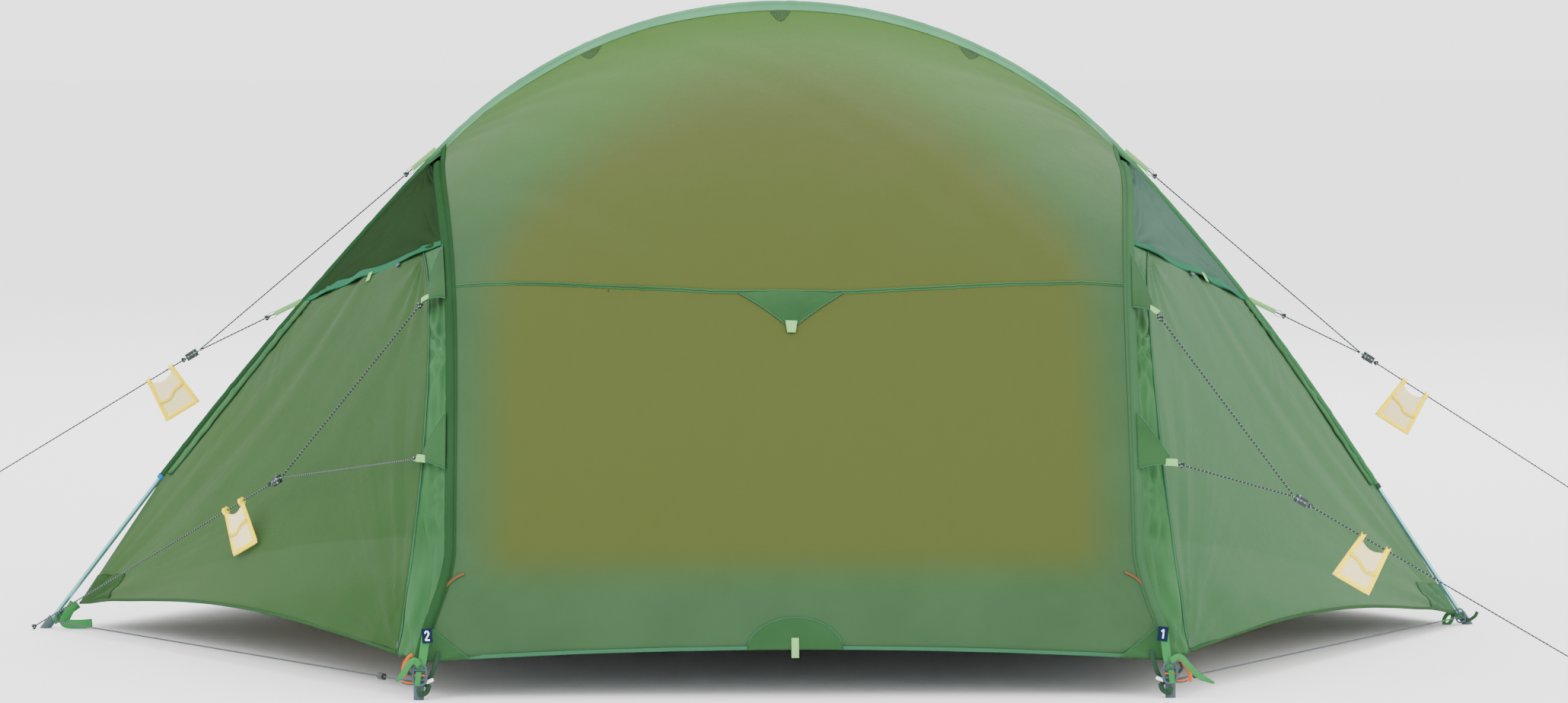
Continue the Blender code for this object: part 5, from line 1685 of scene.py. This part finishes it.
def make_ridge_tab(label, root, toward):
    """A folded tab from the ridge sleeve along a guyline's leg, with a ring and a knot at its end."""
    along = unit(toward - root)
    points = [root + reach * along + 0.0030 * FORWARD for reach in (-0.012, 0.4 * RIDGE_TAB, RIDGE_TAB)]
    tape(f"ridge_tab_{label}", points, FORWARD, 0.0095, "tab", 0.0024)
    centre, beside = root + (RIDGE_TAB + 0.006) * along, np.cross(along, FORWARD)
    loop(f"ridge_tab_ring_{label}", centre, along, beside, RIDGE_TAB_RING, round_profile(0.0012, 8), "ring")
    tie(f"ridge_tab_knot_{label}", root + (RIDGE_TAB + 0.017) * along)


GUSSET = ((0.066, 0.022), (0.080, 0.014))  # how far the upper and lower gussets reach up and down the hoop
GUSSET_POINT = 0.14  # width at its point, as a share of the width at the hoop


def make_gusset(label, side, which, tip, knot):
    """A triangle of cloth from the hoop sleeve to a guyline's leg, ending in a folded tab.

    Its points are the hoop's points, drawn together and moved to the tip by the share of the way.
    """
    height, reach = LOWER_ROOTS[side][which], GUSSET[which]
    line = half_hoop(side, FRONT)
    above, middle_length, below = (length_at(line, 2, height + step) for step in (reach[0], 0.0, -reach[1]))
    base = piece_of(line, above, below, 17)
    middle = point_at(line, middle_length)
    out = facing_front(unit(np.cross(tip - middle, base[-1] - base[0])))
    apex = middle + 0.80 * (tip - middle)
    share = np.linspace(0.0, 1.0, 13)[None, :, None]
    spread = (base - middle)[:, None] * ((1 - share) * (1 - GUSSET_POINT) + GUSSET_POINT)
    grid = middle + spread + share * (apex - middle) + (0.0034 + 0.004 * np.sin(math.pi * share)) * out
    grid = grid + HOOP_SLEEVE_RADIUS * (1 - share) * out
    sheet_piece(f"gusset_{label}", grid, "vent", out)
    for edge, edge_line in (("upper", grid[0]), ("lower", grid[-1])):
        piping(f"gusset_{edge}_{label}", edge_line, 0.0009, out)
    away = unit(tip - middle)
    points = [apex - 0.010 * away + 0.0052 * out, apex + 0.004 * away + 0.0050 * out, tip + 0.0036 * out]
    tape(f"gusset_tab_{label}", points, out, 0.014, "tab", 0.0022)
    tie(f"gusset_knot_{label}", tip + 0.008 * unit(knot - tip))


POUCH_EDGE = 0.0040  # from the pouch's edge to the middle of its binding
POUCH_NET = 0.0004
POUCH_BELLY = 0.0034
POUCH_SWAY = 0.0004
POUCH_SEAM = (0.0036, 0.0090)
POUCH_BINDING = (0.0098, 0.0054)
POUCH_TAB = (0.0012, 0.0082)


def flare(down):
    """How wide a pouch is at a share of its depth: narrower at the line, wider at the bottom."""
    return 0.86 + 0.27 * down


def make_pouch(body, place, along):
    """A net pouch under a line: two layers of net that belly apart, bound on three sides, and two tabs."""
    side_axis = unit(np.cross(along, UPRIGHT))
    up_axis = np.cross(side_axis, along)
    top = place - up_axis * (CORD_RADIUS + CORD_GAP)
    across_share, down = np.linspace(-0.5, 0.5, 15)[None, :, None], column(0.0, 1.0, 17)[..., None]
    arch = np.cos(math.pi * across_share)
    fall = down * POUCH_DEPTH + POUCH_SCOOP * arch * (1 - down)
    belly = POUCH_BELLY * arch * np.sin(math.pi * down) ** 0.7
    sway = POUCH_SWAY * np.sin(7 * down + 5 * across_share)
    for face, sign in (("near", -1), ("far", 1)):
        grid = top + along * across_share * POUCH_WIDTH * flare(down) - up_axis * fall
        grid = grid + side_axis * (sign * belly + sway)
        node = [body] if face == "near" else ()
        sheet = sheet_piece(f"{body}_{face}", grid, "net", sign * side_axis, body, POUCH_NET, node)
    half, low = POUCH_WIDTH / 2 - POUCH_EDGE, POUCH_DEPTH - POUCH_EDGE

    def flat(points):
        """Points in the pouch's plane, from their distances along the line and below it."""
        return [top + along * aside * flare(below / POUCH_DEPTH) - up_axis * below for aside, below in points]

    corners = [(-half, -0.001), (-half, low), (half, low), (half, -0.001)]
    border = rounded_corners(flat(corners), CORD_BEND, 90)
    swept(f"{body}_border", border, tape_profile(*POUCH_BINDING), "border", body, up=side_axis)
    seam = [(-half, 0.45 * low), (-0.3 * half, 0.50 * low), (0.3 * half, 0.62 * low), (half, 0.58 * low)]
    tape(f"{body}_seam", flat(seam), side_axis, POUCH_SEAM[0], "border", POUCH_SEAM[1], body)
    ring_size = CORD_RADIUS + 0.0014
    for index, edge in enumerate((-half, half)):
        wrap = top + along * edge * flare(0.0) + up_axis * (CORD_RADIUS + CORD_GAP)
        sizes = (ring_size + 0.0012, ring_size)
        loop(f"{body}_tab_{index}", wrap, up_axis, side_axis, sizes, tape_profile(*POUCH_TAB), "border", body)


def foot_centre(side):
    """The middle of a front foot cup, at the ground."""
    low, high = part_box(f"foot_cup_front_{SIDE_NAME[side]}")
    return np.array([(low.x + high.x) / 2, (low.y + high.y) / 2, 0.0])


BASE_CORD_HEIGHT = 0.030


def make_base_cords():
    """The cords along the ground from each porch tip to the front hoop foot."""
    for side in SIDES:
        tip = pole_foot(side) + ridge_foot(side)[1] * 0.006
        hoop = foot_centre(side) + BASE_CORD_HEIGHT * UPRIGHT
        along = unit(hoop - tip)
        start = tip + along * (CUP_RADIUS + CORD_GAP + 0.0016)
        end = hoop - along * (CUP_RADIUS + CORD_GAP + 0.0004)
        cord_piece(f"base_cord_{SIDE_NAME[side]}", straight(start, end, 60))


make_guys()
make_base_cords()


# Feet

NUMBER_TAB = (0.018, 0.025, 0.0022)
DIGIT_SHARE = 0.62
DIGITS = {
    LEFT: [
        (-0.30, 0.28), (-0.10, 0.50), (0.20, 0.44), (0.26, 0.18), (0.0, -0.12), (-0.32, -0.48), (0.36, -0.48),
    ],
    RIGHT: [(-0.24, 0.26), (0.06, 0.50), (0.06, 0.0), (0.06, -0.50)],
}
STROKES = {LEFT: (slice(0, 6), slice(5, 7)), RIGHT: (slice(0, 2), slice(1, 4))}
LOOSE_STRAP = {
    LEFT: [(-0.002, 0.061), (0.006, 0.070), (0.016, 0.064), (0.025, 0.049), (0.038, 0.034)],
    RIGHT: [(-0.002, 0.066), (0.014, 0.073), (0.029, 0.058), (0.047, 0.040), (0.074, 0.027)],
}
LOOSE_TAPER = np.interp(np.linspace(0, 1, 32), [0, 0.75, 1], [1, 1, 0.35])
ORANGE_LOOP = {
    LEFT: [(0.010, 0.078), (0.017, 0.074), (0.025, 0.062), (0.027, 0.050), (0.022, 0.040)],
    RIGHT: [(0.008, 0.070), (0.018, 0.062), (0.028, 0.052), (0.034, 0.040), (0.034, 0.027)],
}
LOCK_POWER = 3.2
LADDER_LOCK = (0.0175, 0.0115)
LOCK_BARS = ((0.0082, 0.0020, "plastic"), (-0.0010, 0.0014, "orange"), (-0.0085, 0.0018, "plastic"))
AHEAD = CUP_RADIUS + 0.0016  # how far forward of the cup's middle the webbing lies


def make_foot(side):
    """Number tab, webbing, ladder lock and straps at a front hoop foot.

    Each point is given by its distance out from the foot, away from the tent's middle, its height, and how
    far forward of the cup's middle it is.
    """
    name = SIDE_NAME[side]
    foot = foot_centre(side)

    def at(out, height, forward):
        """A point beside the foot, forward of the cup's middle."""
        return foot + np.array([side * out, -forward, height])

    def strap(label, points, width, finish, thickness=0.0014, normal=FORWARD, **more):
        """A strap of the foot along points that are each given as for at()."""
        tape(f"{name}_{label}", [at(*point) for point in points], normal, width, finish, thickness, **more)

    corner = [(-0.014, 0.118, AHEAD + 0.006), (-0.011, 0.096, AHEAD + 0.006), (-0.007, 0.070, AHEAD + 0.003)]
    corner += [(-0.004, 0.060, AHEAD + 0.001), (-0.004, 0.048, AHEAD)]
    strap("foot_strap", corner, 0.0150, "webbing", replaces=[f"corner_strap_{name}"])
    make_number(side, at(-0.0155, 0.113, AHEAD + 0.0085))

    lock = at(-0.0022, 0.0445, AHEAD + 0.0016)
    section = tape_profile(0.0052, 0.0038)
    loop(f"{name}_ladder_lock", lock, UPRIGHT, SIDEWAYS, LADDER_LOCK, section, "plastic", power=LOCK_POWER)
    for index, (height, radius, finish) in enumerate(LOCK_BARS):
        bar(f"{name}_lock_bar_{index}", lock + height * UPRIGHT, 0.0105 * SIDEWAYS, radius, finish)
    threaded = [(-0.001, 0.050, AHEAD + 0.0046), (0.0, 0.042, AHEAD + 0.0056), (0.002, 0.026, AHEAD + 0.0030)]
    strap("threaded_strap", threaded, 0.0100, "webbing")
    loose = [(*place, AHEAD + 0.007) for place in LOOSE_STRAP[side]]
    turn = unit((side * 0.25, -1.0, 0.35))
    strap("loose_strap", loose, 0.0115, "webbing", normal=turn, scale=LOOSE_TAPER)
    strap("orange_loop", [(*place, -0.002) for place in ORANGE_LOOP[side]], 0.0058, "orange", 0.0022)
    hook = [at(*place, -0.001) for place in ((0.016, 0.062), (0.020, 0.052), (0.014, 0.044), (0.007, 0.050))]
    swept(f"{name}_hook", smooth_line(hook, 32), round_profile(0.0024, 10), "dark_plastic", up=FORWARD)

    back = [(-0.034, 0.082, 0.004), (-0.026, 0.052, 0.002), (-0.019, 0.036, 0.0), (-0.012, 0.022, -0.002)]
    strap("back_strap", back, 0.0080, "dark_webbing")
    bar(f"{name}_back_lock", at(-0.019, 0.033, 0.005), np.array([side * 0.007, 0.0, -0.003]), 0.0032, "white")
    low = [(-0.018, 0.026, 0.003), (-0.014, 0.014, 0.004), (-0.004, 0.010, 0.011), (0.0, 0.020, 0.012)]
    strap("low_strap", low, 0.0090, "dark_webbing")
    buckle = [(0.006, 0.031), (0.016, 0.030), (0.028, 0.033)]
    strap("base_buckle", [(*place, 0.004) for place in buckle], 0.0085, "plastic", 0.0040)
    strap("base_tape", [(*place, 0.0066) for place in buckle], 0.0030, "orange", 0.0010)


def make_number(side, middle):
    """A foot's number tab with its digit, which leans as the strap does."""
    name = SIDE_NAME[side]
    width, height, thickness = NUMBER_TAB
    lean = unit((side * 0.10, 0.0, 1.0))
    beside = unit(np.cross(lean, FORWARD))
    ends = [middle - lean * height / 2, middle + lean * height / 2]
    tape(f"{name}_number_tab", ends, FORWARD, width, "navy", thickness)
    wide, high = width * DIGIT_SHARE * beside, height * DIGIT_SHARE * lean
    corners = [middle + 0.0014 * FORWARD + x * wide + y * high for x, y in DIGITS[side]]
    for index, part in enumerate(STROKES[side]):
        curve = smooth_line(corners[part], 24)
        swept(f"{name}_digit_{index}", curve, tape_profile(0.0026, 0.0008), "white", up=FORWARD)


TIP_FORWARD = 0.012 * FORWARD
TIP_LOCK = (0.0130, 0.0085)
ZIP_LOOP = (0.0085, 0.0055)
HANGING_STRAP = [
    (-0.008, -0.016, 0.004), (-0.015, -0.022, -0.008), (-0.022, -0.020, -0.021), (-0.027, -0.020, -0.032),
    (-0.018, -0.024, -0.036), (0.004, -0.030, -0.036), (0.028, -0.034, -0.034),
]
TIP_PULL = [(0.0, 0.0, 0.0), (0.016, -0.010, -0.014), (0.030, -0.012, -0.008), (0.036, -0.012, 0.002)]


def porch_tip(side, start=0.0):
    """The porch's lowest point on the ridge, found from a length along the ridge line."""
    return porch_ridge(side, start, ridge_lengths(side)[2], 9)[-1]


def make_tip(side):
    """Sleeve end, webbing and locks where the ridge pole meets the ground."""
    name = SIDE_NAME[side]
    half = ridge_half(side)
    end = length_at(half, 0, side * RIDGE_SLEEVE_END[side])
    cuff = piece_of(half, end - 0.006, end + 0.003, 4)
    finish = "blue" if side == LEFT else "dark_webbing"
    swept(f"{name}_sleeve_cuff", cuff, round_profile(RIDGE_SLEEVE_RADIUS + 0.0008, 20), finish, up=-FORWARD)
    foot, up = ridge_foot(side)
    tip = porch_tip(side, end)
    out = leg_outward(side)
    bottom = foot + 0.020 * up - 0.004 * out
    strap = [tip + TIP_FORWARD, tip + TIP_FORWARD + 0.25 * (bottom - tip), bottom + TIP_FORWARD]
    tape(f"{name}_tip_strap", strap, FORWARD, 0.014, "webbing")
    lock = strap[1] + 0.35 * (bottom - tip) + 0.003 * FORWARD
    down = unit(bottom - tip)
    beside = np.cross(down, FORWARD)
    section = tape_profile(0.0036, 0.0030)
    loop(f"{name}_tip_lock", lock, down, beside, TIP_LOCK, section, "plastic", power=LOCK_POWER)
    for index, along in enumerate((-0.005, 0.005)):
        bar(f"{name}_tip_bar_{index}", lock + along * down, 0.008 * beside, 0.0017, "plastic")
    eye = point_at(half, end) + TIP_FORWARD - 0.014 * out
    loop(f"{name}_zip_loop", eye, out, up, ZIP_LOOP, tape_profile(0.0030, 0.0016), "dark_webbing")


def make_loose_tips():
    """The loose strap at the left porch tip, and the short pull and the loop at the right one."""
    hanging = porch_tip(LEFT) + np.array(HANGING_STRAP)
    tape("left_hanging_strap", hanging, (0.25, -1.0, 0.1), 0.0180, "webbing", 0.0016, count=48)
    tip = porch_tip(RIGHT)
    tape("right_tip_pull", tip + np.array(TIP_PULL), FORWARD, 0.0070, "dark_webbing", 0.0020)
    centre, along, beside = tip + (-0.020, -0.010, -0.012), (0.5, 0.0, 0.9), (0.9, 0.0, -0.5)
    loop("right_tip_loop", centre, along, beside, (0.0120, 0.0070), tape_profile(0.0080, 0.0018), "webbing")


for front_side in SIDES:
    make_foot(front_side)
for front_side in SIDES:
    make_tip(front_side)
make_loose_tips()


# CAD pieces that stay, with their own materials


def repaint():
    """Give each CAD piece that still shows its detailed material."""
    for name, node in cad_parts.items():
        if "pole" in name:
            finish = "pole"
        elif "strap" in name or "hanger" in name:
            finish = "webbing"
        elif "stop" in name or "slider" in name or "runner" in name:
            finish = "dark_plastic"
        elif "cup" in name:
            finish = "plastic"
        else:
            continue
        node.data.materials.clear()
        node.data.materials.append(M[finish])


repaint()
